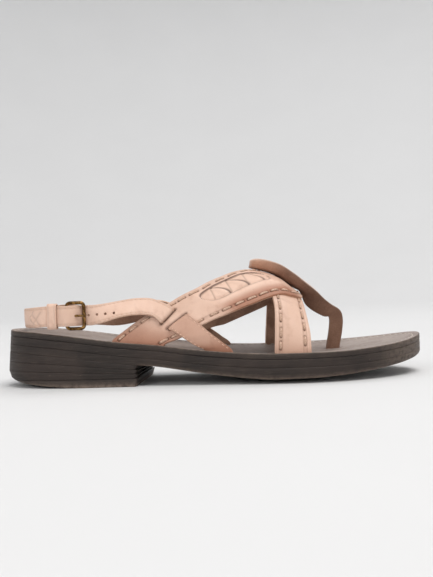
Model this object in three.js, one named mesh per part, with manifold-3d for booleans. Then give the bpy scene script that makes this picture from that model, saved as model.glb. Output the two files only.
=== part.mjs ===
// Right leather thong sandal with a buckled heel sling.
// Millimetres. X runs from the heel to the toe, Y from the lateral to the medial side, Z up.
import * as THREE from 'three';
import { mergeVertices } from 'three/addons/utils/BufferGeometryUtils.js';
import Module from 'manifold-3d';

const wasm = await Module();
wasm.setup();

// Sole sizes
const soleLength = 262;
const ballWidth = 94;
const heelHeight = 34.6;
const forepartHeight = 17.8;
const toeSpring = 6.4;
const soleThickness = 15.2;
const footbedThickness = 3.4;
const midsoleThickness = 4.6;
const dishDepth = 3;
const soleEdgeRound = 2.2;
const footbedEdgeRound = 0.5;

// Heel sizes
const breastPosition = 87;
const breastSkew = 5;
const breastLean = 1.5;
const heelFlare = 2.6;
const heelCornerRound = 6;
const heelRearBevel = 3.6;
const bevelReach = 52;
const bevelPower = 1.4;
const flareStart = 0.25;
const sideCornerRound = 0.8;
const cornerReach = 48;
const cornerPower = 1.5;
const liftCount = 3;
const topPieceThickness = 4.6;

// Upper sizes
const instepHeight = 46.5;
const bandThickness = 2.4;
const bandOverlap = 0.6;
const bandDrop = 0.12;
const windowDepth = 0.9;
const strapEdgeInset = 2.4;
const ridgeShift = 4;
const undersideRound = 1.1;

// Thong sizes
const thongThickness = 2.2;
const leafWidth = 21;
const postWidth = 9;
const postPosition = 208.5;
const postOffset = 9;
const postHeight = 19.2;

// Heel sling and buckle sizes
const slingWidth = 12.2;
const slingThickness = 1.7;
const buckleRearBar = 43;
const buckleLength = 10.4;
const buckleHeight = 15.4;
const buckleCorner = 2.2;
const buckleWire = 1.05;
const prongRadius = 0.8;
const adjustHolePitch = 5.2;
const adjustHoleRadius = 0.8;
const adjustHoleCount = 4;
const keeperPosition = 34.6;
const keeperWidth = 5.6;
const keeperWall = 1.3;
const tailSink = 2.44;
const tailEase = 0.15;
const barEase = 0.3;
const firstHole = 2.4;
const holeRise = 0.3;

// Gap between neighbouring pieces, and the gap kept where one strap runs over another
const seatGap = 0.3;
const weaveGap = 0.4;

// Mesh fineness
const soleStations = 36;
const heelStations = 14;
const soleColumns = 6;
const roundSides = 12;
const wireSides = 8;
const cornerSteps = 4;
const strapColumns = 4;
const endTrim = 0.006;
const thongColumns = 6;

// Place of the strap ends between the footbed's middle and its edge
const strapAcross = 0.92;

// Sole outline: share of the length, then the lateral and medial half widths as shares of the ball width
const outline = [
  { at: 0.0, medial: 0.0, lateral: 0.0 },
  { at: 0.06, medial: 0.272, lateral: 0.262 },
  { at: 0.12, medial: 0.33, lateral: 0.326 },
  { at: 0.2, medial: 0.346, lateral: 0.35 },
  { at: 0.3, medial: 0.322, lateral: 0.368 },
  { at: 0.38, medial: 0.304, lateral: 0.388 },
  { at: 0.46, medial: 0.312, lateral: 0.416 },
  { at: 0.54, medial: 0.356, lateral: 0.45 },
  { at: 0.62, medial: 0.428, lateral: 0.484 },
  { at: 0.7, medial: 0.481, lateral: 0.502 },
  { at: 0.78, medial: 0.49, lateral: 0.476 },
  { at: 0.85, medial: 0.47, lateral: 0.412 },
  { at: 0.91, medial: 0.424, lateral: 0.32 },
  { at: 0.96, medial: 0.33, lateral: 0.2 },
  { at: 1.0, medial: 0.075, lateral: -0.075 },
];

// Sole profile: rise as a share of the drop from heel to ball, spring of the toe spring,
// thickness of the sole thickness, and dish of the dish depth
const profile = [
  { at: 0.0, rise: 1.03, spring: 0.0, thickness: 0.86, dish: 0.1 },
  { at: 0.065, rise: 0.97, spring: 0.0, thickness: 0.86, dish: 0.3 },
  { at: 0.12, rise: 0.88, spring: 0.0, thickness: 0.85, dish: 0.4 },
  { at: 0.2, rise: 0.71, spring: 0.0, thickness: 0.84, dish: 0.4 },
  { at: 0.25, rise: 0.59, spring: 0.0, thickness: 0.84, dish: 0.4 },
  { at: 0.3, rise: 0.49, spring: 0.0, thickness: 0.84, dish: 0.4 },
  { at: 0.37, rise: 0.38, spring: 0.0, thickness: 0.85, dish: 0.45 },
  { at: 0.42, rise: 0.27, spring: 0.0, thickness: 0.87, dish: 0.55 },
  { at: 0.47, rise: 0.17, spring: 0.0, thickness: 0.9, dish: 0.7 },
  { at: 0.54, rise: 0.07, spring: 0.0, thickness: 0.95, dish: 0.9 },
  { at: 0.63, rise: 0.0, spring: 0.0, thickness: 1.0, dish: 1.0 },
  { at: 0.72, rise: 0.0, spring: 0.0, thickness: 0.98, dish: 1.0 },
  { at: 0.78, rise: 0.0, spring: 0.03, thickness: 0.94, dish: 0.95 },
  { at: 0.85, rise: 0.0, spring: 0.18, thickness: 0.9, dish: 0.8 },
  { at: 0.92, rise: 0.0, spring: 0.43, thickness: 0.87, dish: 0.5 },
  { at: 0.97, rise: 0.0, spring: 0.74, thickness: 0.86, dish: 0.2 },
  { at: 1.0, rise: 0.0, spring: 1.0, thickness: 0.84, dish: 0.0 },
];

// Top line of the last above the footbed's edge, as a share of the instep height
const ridge = [
  { at: 0.26, height: 0.4 },
  { at: 0.31, height: 0.54 },
  { at: 0.38, height: 0.71 },
  { at: 0.43, height: 0.83 },
  { at: 0.46, height: 0.885 },
  { at: 0.515, height: 0.965 },
  { at: 0.573, height: 1.0 },
  { at: 0.61, height: 0.975 },
  { at: 0.65, height: 0.89 },
  { at: 0.68, height: 0.76 },
  { at: 0.71, height: 0.625 },
  { at: 0.744, height: 0.525 },
  { at: 0.78, height: 0.45 },
];

// Ribs of an instep band from its rear anchor to its front one. Along is a share of the length.
// Round is 0 on the last's ridge and 1 at the footbed's edge, and 1.1 is the underside of the footbed.
// Lift is the share of the band under it that the upper band climbs over, and drop is the share of
// the band drop by which the lower band's front edge lies further down.
const bandRibs = [
  { rearAlong: 0.264, rearRound: -1.1, frontAlong: 0.386, frontRound: -1.1, lift: 0, drop: 0 },
  { rearAlong: 0.266, rearRound: -1.0, frontAlong: 0.386, frontRound: -1.0, lift: 0, drop: 0 },
  { rearAlong: 0.308, rearRound: -0.76, frontAlong: 0.425, frontRound: -0.9, lift: 0, drop: 0.4 },
  { rearAlong: 0.345, rearRound: -0.63, frontAlong: 0.458, frontRound: -0.815, lift: 0, drop: 0.65 },
  { rearAlong: 0.392, rearRound: -0.52, frontAlong: 0.498, frontRound: -0.735, lift: 0, drop: 0.85 },
  { rearAlong: 0.43, rearRound: -0.425, frontAlong: 0.53, frontRound: -0.685, lift: 0, drop: 1 },
  { rearAlong: 0.46, rearRound: -0.36, frontAlong: 0.558, frontRound: -0.64, lift: 0, drop: 1 },
  { rearAlong: 0.486, rearRound: -0.29, frontAlong: 0.586, frontRound: -0.59, lift: 0.05, drop: 1 },
  { rearAlong: 0.513, rearRound: -0.235, frontAlong: 0.618, frontRound: -0.52, lift: 0.35, drop: 1 },
  { rearAlong: 0.541, rearRound: -0.18, frontAlong: 0.65, frontRound: -0.435, lift: 0.85, drop: 0.85 },
  { rearAlong: 0.569, rearRound: -0.115, frontAlong: 0.681, frontRound: -0.34, lift: 1, drop: 0.6 },
  { rearAlong: 0.59, rearRound: -0.03, frontAlong: 0.702, frontRound: -0.215, lift: 1, drop: 0.3 },
  { rearAlong: 0.605, rearRound: 0.12, frontAlong: 0.706, frontRound: 0.0, lift: 1, drop: 0.1 },
  { rearAlong: 0.62, rearRound: 0.28, frontAlong: 0.706, frontRound: 0.2, lift: 1, drop: 0 },
  { rearAlong: 0.633, rearRound: 0.44, frontAlong: 0.707, frontRound: 0.42, lift: 0.85, drop: 0 },
  { rearAlong: 0.637, rearRound: 0.6, frontAlong: 0.71, frontRound: 0.62, lift: 0.35, drop: 0 },
  { rearAlong: 0.635, rearRound: 0.8, frontAlong: 0.713, frontRound: 0.8, lift: 0, drop: 0 },
  { rearAlong: 0.632, rearRound: 1.0, frontAlong: 0.713, frontRound: 1.0, lift: 0, drop: 0 },
  { rearAlong: 0.632, rearRound: 1.1, frontAlong: 0.713, frontRound: 1.1, lift: 0, drop: 0 },
];

// Window of a band: rib count from the rear anchor, with middle and half width as shares of the band's half width
const windowRibs = [
  { rib: 5.15, middle: -0.16, half: 0.04 },
  { rib: 5.3, middle: -0.16, half: 0.22 },
  { rib: 5.6, middle: -0.17, half: 0.33 },
  { rib: 6.1, middle: -0.18, half: 0.38 },
  { rib: 7.0, middle: -0.19, half: 0.4 },
  { rib: 8.0, middle: -0.2, half: 0.4 },
  { rib: 9.0, middle: -0.2, half: 0.39 },
  { rib: 9.7, middle: -0.2, half: 0.34 },
  { rib: 10.1, middle: -0.2, half: 0.24 },
  { rib: 10.3, middle: -0.2, half: 0.05 },
];

// Leg of the sling from the footbed up over the band: fore and aft edges on the last, as in the bands' table.
// Layer is where the leg lies: 0 on the last, 1 over the band, -1 under the bridge between the two slits.
const legRibs = [
  { foreAlong: 0.541, foreRound: 1.1, aftAlong: 0.477, aftRound: 1.1, layer: 0 },
  { foreAlong: 0.541, foreRound: 1.0, aftAlong: 0.477, aftRound: 1.0, layer: 0.05 },
  { foreAlong: 0.517, foreRound: 0.92, aftAlong: 0.452, aftRound: 0.955, layer: 0.6 },
  { foreAlong: 0.489, foreRound: 0.845, aftAlong: 0.425, aftRound: 0.895, layer: 1 },
  { foreAlong: 0.462, foreRound: 0.755, aftAlong: 0.407, aftRound: 0.85, layer: 1 },
  { foreAlong: 0.4435, foreRound: 0.69, aftAlong: 0.398, aftRound: 0.832, layer: 1 },
  { foreAlong: 0.4355, foreRound: 0.665, aftAlong: 0.3925, aftRound: 0.814, layer: -1 },
  { foreAlong: 0.417, foreRound: 0.62, aftAlong: 0.3825, aftRound: 0.776, layer: -1 },
  { foreAlong: 0.409, foreRound: 0.6, aftAlong: 0.3775, aftRound: 0.755, layer: 1 },
];

// Free run of the sling from the slits to the middle of the heel: places along and half width as shares of
// the length and the ball width, height of the strap's middle above the footbed's heel edge as a share of
// the sling's width, how much lower the medial strap lies, and the lean of the upper edge inwards in degrees
const slingRun = [
  { along: 0.358, side: 0.276, height: 0.97, drop: 0.12, lean: 34 },
  { along: 0.322, side: 0.3, height: 1.04, drop: 0.4, lean: 38 },
  { along: 0.286, side: 0.312, height: 0.95, drop: 0.5, lean: 38 },
  { along: 0.248, side: 0.315, height: 0.78, drop: 0.38, lean: 24 },
];
const slingHeel = [
  { along: 0.092, side: 0.27, height: 0.665, drop: 0, lean: 0 },
  { along: 0.069, side: 0.19, height: 0.64, drop: 0, lean: -5 },
  { along: 0.052, side: 0.1, height: 0.62, drop: 0, lean: -9 },
  { along: 0.047, side: 0.0, height: 0.61, drop: 0, lean: -10 },
];
const buckleSide = 0.314;
const buckleRise = 0.7;

// Free end of the sling past the keeper: place along the heel strap, and width as a share of the sling's
const tailRows = [
  { place: 0.2, width: 1 },
  { place: 0.28, width: 1 },
  { place: 0.36, width: 0.92 },
  { place: 0.48, width: 0.14 },
];

// Thong from the free tip of the leaf to its neck: along as a share of the length, side of the post's offset,
// width of the leaf's, rise above the last as a share of the bands' thickness, roll of the whole strip
// and curl of its lateral edge in degrees
const leafRibs = [
  { along: 0.588, side: 0, width: 0.5, rise: 2.0, roll: 2, curl: 88 },
  { along: 0.597, side: 0, width: 0.68, rise: 2.0, roll: 2, curl: 94 },
  { along: 0.61, side: 0, width: 0.76, rise: 2.0, roll: 2, curl: 98 },
  { along: 0.635, side: 0, width: 0.82, rise: 2.1, roll: 2, curl: 94 },
  { along: 0.662, side: 0, width: 0.86, rise: 2.35, roll: 2, curl: 88 },
  { along: 0.69, side: 0, width: 0.88, rise: 2.6, roll: 2, curl: 84 },
  { along: 0.714, side: 0.04, width: 0.78, rise: 3, roll: 2, curl: 72 },
  { along: 0.739, side: 0.3, width: 0.66, rise: 1.6, roll: 38, curl: 42 },
  { along: 0.761, side: 0.62, width: 0.52, rise: 0.65, roll: 64, curl: 16 },
  { along: 0.781, side: 0.9, width: 0.44, rise: 0, roll: 86, curl: 0 },
];

// Toe post from its shoulder down through the footbed: shift forward as a share of its width, level as a share
// of its height above the footbed, and turn of its width from level in degrees
const postRibs = [
  { shift: 0.02, level: 1.17, turn: 24 },
  { shift: 0.14, level: 1.0, turn: 2 },
  { shift: 0.06, level: 0.55, turn: 0 },
  { shift: -0.17, level: 0.0, turn: 0 },
];

const blend = (from, to, t) => from + (to - from) * t;

// Share of the sole's length that a place in millimetres has
const shareOf = (place) => place / soleLength;

// Slope of a smooth curve through a table at one row
function rowSlope(keys, values, row) {
  const last = keys.length - 1;
  if (row === 0) return (values[1] - values[0]) / (keys[1] - keys[0]);
  if (row === last) return (values[last] - values[last - 1]) / (keys[last] - keys[last - 1]);
  const before = (values[row] - values[row - 1]) / (keys[row] - keys[row - 1]);
  const after = (values[row + 1] - values[row]) / (keys[row + 1] - keys[row]);
  return before * after <= 0 ? 0 : (2 * before * after) / (before + after);
}

// Smooth value between the rows of a table
function curveThrough(keys, values, key) {
  const last = keys.length - 1;
  const place = Math.min(Math.max(key, keys[0]), keys[last]);
  let row = 0;
  while (row < last - 1 && place > keys[row + 1]) row += 1;
  const span = keys[row + 1] - keys[row];
  const t = (place - keys[row]) / span;
  const from = rowSlope(keys, values, row) * span;
  const to = rowSlope(keys, values, row + 1) * span;
  const a = 2 * values[row] - 2 * values[row + 1] + from + to;
  const b = -3 * values[row] + 3 * values[row + 1] - 2 * from - to;
  return ((a * t + b) * t + from) * t + values[row];
}

const readTable = (table, column, share) =>
  curveThrough(table.map((row) => row.at), table.map((row) => row[column]), share);

// The outline is read by angle round the sole, which keeps the heel and the toe round
const roundAngle = (share) => Math.acos(1 - 2 * Math.min(Math.max(share, 0), 1));
const outlineAngles = outline.map((row) => roundAngle(row.at));

function halfWidth(side, share) {
  const values = outline.map((row) => row[side]);
  return ballWidth * curveThrough(outlineAngles, values, roundAngle(share));
}

const edgeY = (side, share) => (side === 'lateral' ? -halfWidth('lateral', share) : halfWidth('medial', share));

// Height of the footbed's top, with across from -1 at the lateral edge to 1 at the medial one
function footbedTop(share, across) {
  const drop = heelHeight - forepartHeight;
  const rise = drop * readTable(profile, 'rise', share);
  const spring = toeSpring * readTable(profile, 'spring', share);
  return forepartHeight + rise + spring - dishDepth * readTable(profile, 'dish', share) * (1 - across * across);
}

const footbedBottom = (share, across) => footbedTop(share, across) - footbedThickness;
const midsoleTop = (share, across) => footbedBottom(share, across) - seatGap;
const midsoleBottom = (share, across) => midsoleTop(share, across) - midsoleThickness;
const outsoleTop = (share, across) => midsoleBottom(share, across) - seatGap;

// Underside of the outsole, flat on the floor where the ball bears
function outsoleBottom(share, across) {
  const thickness = soleThickness * readTable(profile, 'thickness', share);
  return Math.max(0, footbedTop(share, across) - thickness);
}

// Underside of the heel, flat at the breast and worn upwards at the back
function heelGround(share) {
  const back = Math.max(0, 1 - share / shareOf(bevelReach));
  return heelRearBevel * Math.pow(back, bevelPower);
}

// How far the heel's side stands in from the outline at a height: flare above, rounded corner below
function heelInset(share, height) {
  const behind = Math.max(0, 1 - share / shareOf(breastPosition));
  const flare = heelFlare * behind * Math.max(0, height / heelHeight - flareStart);
  const rear = Math.pow(Math.max(0, 1 - share / shareOf(cornerReach)), cornerPower);
  const corner = blend(sideCornerRound, heelCornerRound, rear);
  const above = Math.min(height - heelGround(share), corner);
  const rest = corner - above;
  return flare + corner - Math.sqrt(Math.max(0, corner * corner - rest * rest));
}

const vector = (x, y, z) => new THREE.Vector3(x, y, z);

// Closed mesh from numbered corner points and faces of three or four corners
function meshFrom(points, faces) {
  const positions = points.flatMap((point) => [point.x, point.y, point.z]);
  const index = [];
  for (const face of faces) {
    for (let k = 1; k + 1 < face.length; k += 1) index.push(face[0], face[k], face[k + 1]);
  }
  const geometry = new THREE.BufferGeometry();
  geometry.setAttribute('position', new THREE.Float32BufferAttribute(positions, 3));
  geometry.setIndex(index);
  return geometry;
}

// Solid of the library that joins and cuts, from a closed geometry
function toSolid(geometry) {
  const bare = geometry.clone();
  bare.deleteAttribute('normal');
  bare.deleteAttribute('uv');
  const merged = mergeVertices(bare, 1e-4);
  const vertProperties = new Float32Array(merged.attributes.position.array);
  const triVerts = new Uint32Array(merged.index.array);
  return new wasm.Manifold(new wasm.Mesh({ numProp: 3, vertProperties, triVerts }));
}

function toGeometry(solid) {
  const mesh = solid.getMesh();
  const geometry = new THREE.BufferGeometry();
  geometry.setAttribute('position', new THREE.Float32BufferAttribute(mesh.vertProperties, 3));
  geometry.setIndex(new THREE.Uint32BufferAttribute(mesh.triVerts, 1));
  return geometry;
}

// Closed solid from a stack of equal rings, the first and the last closed by their own grids.
// Layers are listed from the bottom up, each a grid [station][column], and the edge columns meet at the ends.
function stackOfGrids(layers) {
  const stations = layers[0].length;
  const columns = layers[0][0].length;
  const ring = [];
  for (let i = 0; i < stations; i += 1) ring.push([i, 0]);
  for (let j = 1; j < columns; j += 1) ring.push([stations - 1, j]);
  for (let i = stations - 2; i >= 0; i -= 1) ring.push([i, columns - 1]);
  for (let j = columns - 2; j > 0; j -= 1) ring.push([0, j]);
  const points = [];
  const faces = [];
  const gridStart = (layer) => {
    const start = points.length;
    for (const row of layer) points.push(...row);
    return (i, j) => start + i * columns + j;
  };
  const bottom = gridStart(layers[0]);
  const top = gridStart(layers[layers.length - 1]);
  for (let i = 0; i + 1 < stations; i += 1) {
    for (let j = 0; j + 1 < columns; j += 1) {
      faces.push([bottom(i, j), bottom(i, j + 1), bottom(i + 1, j + 1), bottom(i + 1, j)]);
      faces.push([top(i, j), top(i + 1, j), top(i + 1, j + 1), top(i, j + 1)]);
    }
  }
  const rings = layers.map((layer, level) => {
    if (level === 0) return ring.map(([i, j]) => bottom(i, j));
    if (level === layers.length - 1) return ring.map(([i, j]) => top(i, j));
    const start = points.length;
    for (const [i, j] of ring) points.push(layer[i][j]);
    return ring.map((corner, k) => start + k);
  });
  for (let level = 0; level + 1 < rings.length; level += 1) {
    for (let k = 0; k < ring.length; k += 1) {
      const next = (k + 1) % ring.length;
      faces.push([rings[level][k], rings[level][next], rings[level + 1][next], rings[level + 1][k]]);
    }
  }
  return meshFrom(points, faces);
}

// Grid of points of one level of the sole, inset from the outline and set at its height
function soleGrid({ stations, shareAt, height, inset }) {
  const grid = [];
  for (let i = 0; i <= stations; i += 1) {
    const row = [];
    for (let j = 0; j <= soleColumns; j += 1) {
      const across = (2 * j) / soleColumns - 1;
      row.push(solePoint(shareAt(i / stations, across), across, height, inset));
    }
    grid.push(row);
  }
  return grid;
}

// Point of the outline moved inwards by an inset
function rimPoint(side, share, inset) {
  const step = 0.002;
  const before = Math.max(0, share - step);
  const after = Math.min(1, share + step);
  const dx = (after - before) * soleLength;
  const dy = edgeY(side, after) - edgeY(side, before);
  const reach = inset / Math.hypot(dx, dy);
  const inward = side === 'lateral' ? 1 : -1;
  return { x: share * soleLength - inward * reach * dy, y: edgeY(side, share) + inward * reach * dx };
}

function solePoint(share, across, height, inset) {
  const lateral = rimPoint('lateral', share, inset(share, height(share, -1)));
  const medial = rimPoint('medial', share, inset(share, height(share, 1)));
  const t = (across + 1) / 2;
  const x = lateral.x + (medial.x - lateral.x) * t;
  const y = lateral.y + (medial.y - lateral.y) * t;
  return vector(x, y, height(share, across));
}

// Full layer of the sole between two heights, with the steps of its side listed from the bottom up
function soleLayer(bottomHeight, topHeight, steps) {
  const fullShare = (t) => (1 - Math.cos(Math.PI * blend(endTrim, 1 - endTrim, t))) / 2;
  const layers = steps.map(({ level, inset }) => soleGrid({
    stations: soleStations,
    shareAt: fullShare,
    height: (share, across) => blend(bottomHeight(share, across), topHeight(share, across), level),
    inset: (share, height) => inset + heelInset(share, height),
  }));
  return stackOfGrids(layers);
}

// Layer of the heel, which ends at the skewed and leaning breast
function heelLayer(bottomHeight, topHeight, levels) {
  const breastShare = (level, across) =>
    shareOf(breastPosition + (breastSkew * across) / 2 - breastLean * (1 - level));
  const quarterShare = (t) => 1 - Math.cos((Math.PI / 2) * blend(2 * endTrim, 1, t));
  const layers = levels.map((level) => soleGrid({
    stations: heelStations,
    shareAt: (t, across) => breastShare(level, across) * quarterShare(t),
    height: (share, across) => blend(bottomHeight(share, across), topHeight(share, across), level),
    inset: heelInset,
  }));
  return stackOfGrids(layers);
}

const degrees = (angle) => (angle * Math.PI) / 180;

// Point of the last, raised outwards by a lift. Round runs from -1 at the lateral edge over the ridge to 1.
function lastSurface(share, round) {
  const lateral = edgeY('lateral', share) + strapEdgeInset + bandThickness;
  const medial = edgeY('medial', share) - strapEdgeInset - bandThickness;
  const half = (medial - lateral) / 2;
  const turn = Math.min(Math.max(round, -1), 1) * (Math.PI / 2);
  const below = Math.max(0, Math.abs(round) - 1) / (undersideRound - 1);
  const height = instepHeight * readTable(ridge, 'height', share);
  const side = (lateral + medial) / 2 + half * Math.sin(turn) + ridgeShift * Math.cos(turn);
  const top = footbedTop(share, strapAcross) + height * Math.cos(turn);
  return vector(share * soleLength, side, top - below * footbedThickness);
}

function lastPoint(share, round, lift) {
  const step = 0.004;
  const point = lastSurface(share, round);
  const forward = lastSurface(share + step, round).sub(lastSurface(share - step, round));
  const around = lastSurface(share, round + step).sub(lastSurface(share, round - step));
  const outward = around.cross(forward).normalize().negate();
  return point.addScaledVector(outward, lift);
}

// Values of a table at a rib count that may lie between two ribs
function ribAt(table, count) {
  const keys = table.map((row, index) => index);
  const entries = Object.keys(table[0]).map((column) => [
    column, curveThrough(keys, table.map((row) => row[column]), count),
  ]);
  return Object.fromEntries(entries);
}

// Solid sheet round a grid of middle points, with its thickness, grown on every side by a clearance
function sheet(grid, thickness, grow = 0) {
  const rows = grid.length - 1;
  const columns = grid[0].length - 1;
  const wide = grid.map((row) => row.map((point) => point.clone()));
  for (const row of wide) {
    const across = row[columns].clone().sub(row[0]).normalize();
    row[0].addScaledVector(across, -grow);
    row[columns].addScaledVector(across, grow);
  }
  for (let j = 0; j <= columns; j += 1) {
    const start = grid[0][j].clone().sub(grid[1][j]).normalize();
    const end = grid[rows][j].clone().sub(grid[rows - 1][j]).normalize();
    wide[0][j].addScaledVector(start, 3 * grow);
    wide[rows][j].addScaledVector(end, 3 * grow);
  }
  const level = (half) => wide.map((row, i) => row.map((point, j) => {
    const along = wide[Math.min(i + 1, rows)][j].clone().sub(wide[Math.max(i - 1, 0)][j]);
    const across = row[Math.min(j + 1, columns)].clone().sub(row[Math.max(j - 1, 0)]);
    return point.clone().addScaledVector(along.cross(across).normalize(), half);
  }));
  return stackOfGrids([level(-thickness / 2 - grow), level(thickness / 2 + grow)]);
}

// Middle points of an instep band, from its rear anchor to its front one. Hand is -1 for the band that
// starts on the lateral side. Across runs from the front edge at -1 to the rear edge at 1.
function bandGrid(hand, upper, counts, acrossAt, lift) {
  return counts.map((count) => {
    const rib = ribAt(bandRibs, count);
    const climb = upper ? rib.lift * (bandThickness - bandOverlap) : 0;
    const points = acrossAt(count).map((across) => {
      const t = (across + 1) / 2;
      const along = blend(rib.frontAlong, rib.rearAlong, t);
      const front = rib.frontRound - (upper ? 0 : bandDrop * rib.drop);
      const round = blend(front, rib.rearRound, t);
      return lastPoint(along, -hand * round, lift + climb);
    });
    return hand < 0 ? points : points.reverse();
  });
}

const evenSteps = (from, to, steps) =>
  Array.from({ length: steps + 1 }, (unused, k) => blend(from, to, k / steps));

function bandSheet(hand, upper, grow = 0) {
  const ends = bandRibs.length - 1;
  const counts = [0, ...evenSteps(1, ends - 1, 2 * (ends - 2)), ends];
  const grid = bandGrid(hand, upper, counts, () => evenSteps(-1, 1, strapColumns), bandThickness / 2);
  return sheet(grid, bandThickness, grow);
}

// Cutter for the window of a band, centred on the band's outer face
function windowCutter(hand, upper) {
  const middles = windowRibs.map((row) => row.middle);
  const halves = windowRibs.map((row) => row.half);
  const places = windowRibs.map((row) => row.rib);
  const acrossAt = (count) => {
    const middle = -curveThrough(places, middles, count);
    const half = curveThrough(places, halves, count);
    return evenSteps(middle - half, middle + half, strapColumns);
  };
  const grid = bandGrid(hand, upper, places, acrossAt, bandThickness);
  return sheet(grid, 2 * windowDepth);
}

// Rows of the sling's leg on one side of the last, each from its fore edge to its aft edge
function legRows(hand) {
  const over = bandThickness + weaveGap + slingThickness / 2;
  const under = -weaveGap - slingThickness / 2;
  const counts = [0, ...evenSteps(1, legRibs.length - 1, 2 * (legRibs.length - 2))];
  return counts.map((count) => {
    const rib = ribAt(legRibs, count);
    const lift = blend(slingThickness / 2, rib.layer >= 0 ? over : under, Math.abs(rib.layer));
    return [0, 0.5, 1].map((t) => {
      const round = blend(rib.foreRound, rib.aftRound, t);
      return lastPoint(blend(rib.foreAlong, rib.aftAlong, t), hand * round, lift);
    });
  });
}

// Row of the sling at a free place, from its upper edge to its lower one, leaning inwards by an angle
function slingRow(x, y, z, lean, inward, half = slingWidth / 2) {
  const up = vector(0, 0, Math.cos(degrees(lean))).addScaledVector(inward, Math.sin(degrees(lean)));
  return [1, 0, -1].map((side) => vector(x, y, z).addScaledVector(up, side * half));
}

const slingLevel = (height) => heelHeight + height * slingWidth;

function runRow({ along, side, height, drop, lean }, hand) {
  const level = slingLevel(hand > 0 ? height - drop : height);
  return slingRow(along * soleLength, hand * side * ballWidth, level, lean, vector(0, -hand, 0));
}

// Smooth rows through control rows, with more rows in each stretch from the first free one on
function smoothRows(rows, firstFree, steps) {
  const curves = rows[0].map((unused, j) =>
    new THREE.CatmullRomCurve3(rows.map((row) => row[j]), false, 'centripetal'));
  const places = [];
  for (let i = 0; i + 1 < rows.length; i += 1) {
    const count = i < firstFree ? 1 : steps;
    for (let k = 0; k < count; k += 1) places.push((i + k / count) / (rows.length - 1));
  }
  places.push(1);
  return places.map((place) => curves.map((curve) => curve.getPoint(place)));
}

// Buckle: its rear bar lies in the eye of the medial strap, with depths measured outwards from that strap
const buckleY = -buckleSide * ballWidth;
const buckleZ = slingLevel(buckleRise);
const frameDepth = slingThickness / 2;
const eyeBore = buckleWire + seatGap;
const eyeRadius = eyeBore + slingThickness;
const tailDepth = slingThickness + seatGap;
const overEye = frameDepth + eyeRadius + seatGap + slingThickness / 2;
const underBar = frameDepth - buckleWire - seatGap - slingThickness / 2;
const frontBar = buckleRearBar + buckleLength;
const keeperEnd = keeperPosition - 0.7 * keeperWidth;

const buckleRow = (x, depth) => slingRow(x, buckleY - depth, buckleZ, 0, vector(0, 1, 0));

// Middle line of the medial strap round the heel, seen from above, from the buckle to the back
function heelLine() {
  const straight = [buckleRearBar, keeperEnd].map((x) => vector(x, buckleY, 0));
  const bend = slingHeel.map(({ along, side }) => vector(along * soleLength, -side * ballWidth, 0));
  return new THREE.CatmullRomCurve3([...straight, ...bend], false, 'centripetal');
}

// Row of the free end, lying outside the medial strap
function tailRow({ place, width }) {
  const line = heelLine();
  const middle = line.getPoint(place);
  const travel = line.getTangent(place);
  const outward = vector(travel.y, -travel.x, 0).negate();
  const spot = middle.addScaledVector(outward, tailDepth + tailEase);
  const level = buckleZ - tailSink * (place - tailRows[0].place);
  return slingRow(spot.x, spot.y, level, 0, outward.negate(), (width * slingWidth) / 2);
}

function lateralSlingGrid() {
  const leg = legRows(-1);
  const run = slingRun.map((row) => runRow(row, -1));
  const eyeTop = overEye - 0.1 * eyeRadius;
  const buckled = [
    buckleRow(frontBar + 4 * buckleWire, underBar),
    buckleRow(frontBar + buckleWire, underBar - barEase),
    buckleRow(frontBar - buckleWire, underBar - barEase),
    buckleRow(buckleRearBar + eyeRadius / 2, eyeTop),
    buckleRow(buckleRearBar - eyeRadius / 2, eyeTop),
    buckleRow(keeperPosition + keeperWidth / 2 + seatGap, tailDepth),
  ];
  const tail = tailRows.map(tailRow);
  return smoothRows([...leg, ...run, ...buckled, ...tail], leg.length - 1, 3);
}

function medialSlingGrid() {
  const leg = legRows(1);
  const run = slingRun.map((row) => runRow(row, 1));
  const side = [
    { along: shareOf(frontBar), side: buckleSide, height: buckleRise, drop: 0.2, lean: 6 },
    { along: shareOf(keeperEnd), side: buckleSide, height: buckleRise, drop: 0, lean: 0 },
  ];
  const far = [...side, ...slingHeel].map((row) => runRow(row, 1));
  const near = slingHeel.slice(0, -1).reverse().map((row) => runRow(row, -1));
  const held = [keeperEnd, keeperPosition, buckleRearBar - eyeBore].map((x) => buckleRow(x, 0));
  const rows = smoothRows([...leg, ...run, ...far, ...near, ...held], leg.length - 1, 3);
  return rows.map((row) => row.reverse());
}

// Round bar between two points
function bar(from, to, radius, sides = roundSides) {
  const axis = to.clone().sub(from);
  const geometry = new THREE.CylinderGeometry(radius, radius, axis.length(), sides);
  const turn = new THREE.Quaternion().setFromUnitVectors(vector(0, 1, 0), axis.clone().normalize());
  geometry.applyQuaternion(turn);
  const middle = from.clone().add(to).multiplyScalar(0.5);
  return geometry.translate(middle.x, middle.y, middle.z);
}

function box(x0, x1, y0, y1, z0, z1) {
  const geometry = new THREE.BoxGeometry(x1 - x0, y1 - y0, z1 - z0);
  return geometry.translate((x0 + x1) / 2, (y0 + y1) / 2, (z0 + z1) / 2);
}

const uprightBar = (radius, height) => bar(
  vector(buckleRearBar, buckleY - frameDepth, buckleZ - height / 2),
  vector(buckleRearBar, buckleY - frameDepth, buckleZ + height / 2),
  radius,
);

// Stem of the prong, from its ring on the rear bar over the front bar
function prongStem(radius) {
  const ringRadius = eyeBore + prongRadius;
  const from = vector(buckleRearBar + 0.6 * ringRadius, buckleY - frameDepth - 0.4 * ringRadius, buckleZ);
  const tipDepth = frameDepth + buckleWire + seatGap + prongRadius;
  const to = vector(frontBar + 1.6 * buckleWire, buckleY - tipDepth, buckleZ);
  return bar(from, to, radius, wireSides);
}

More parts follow.
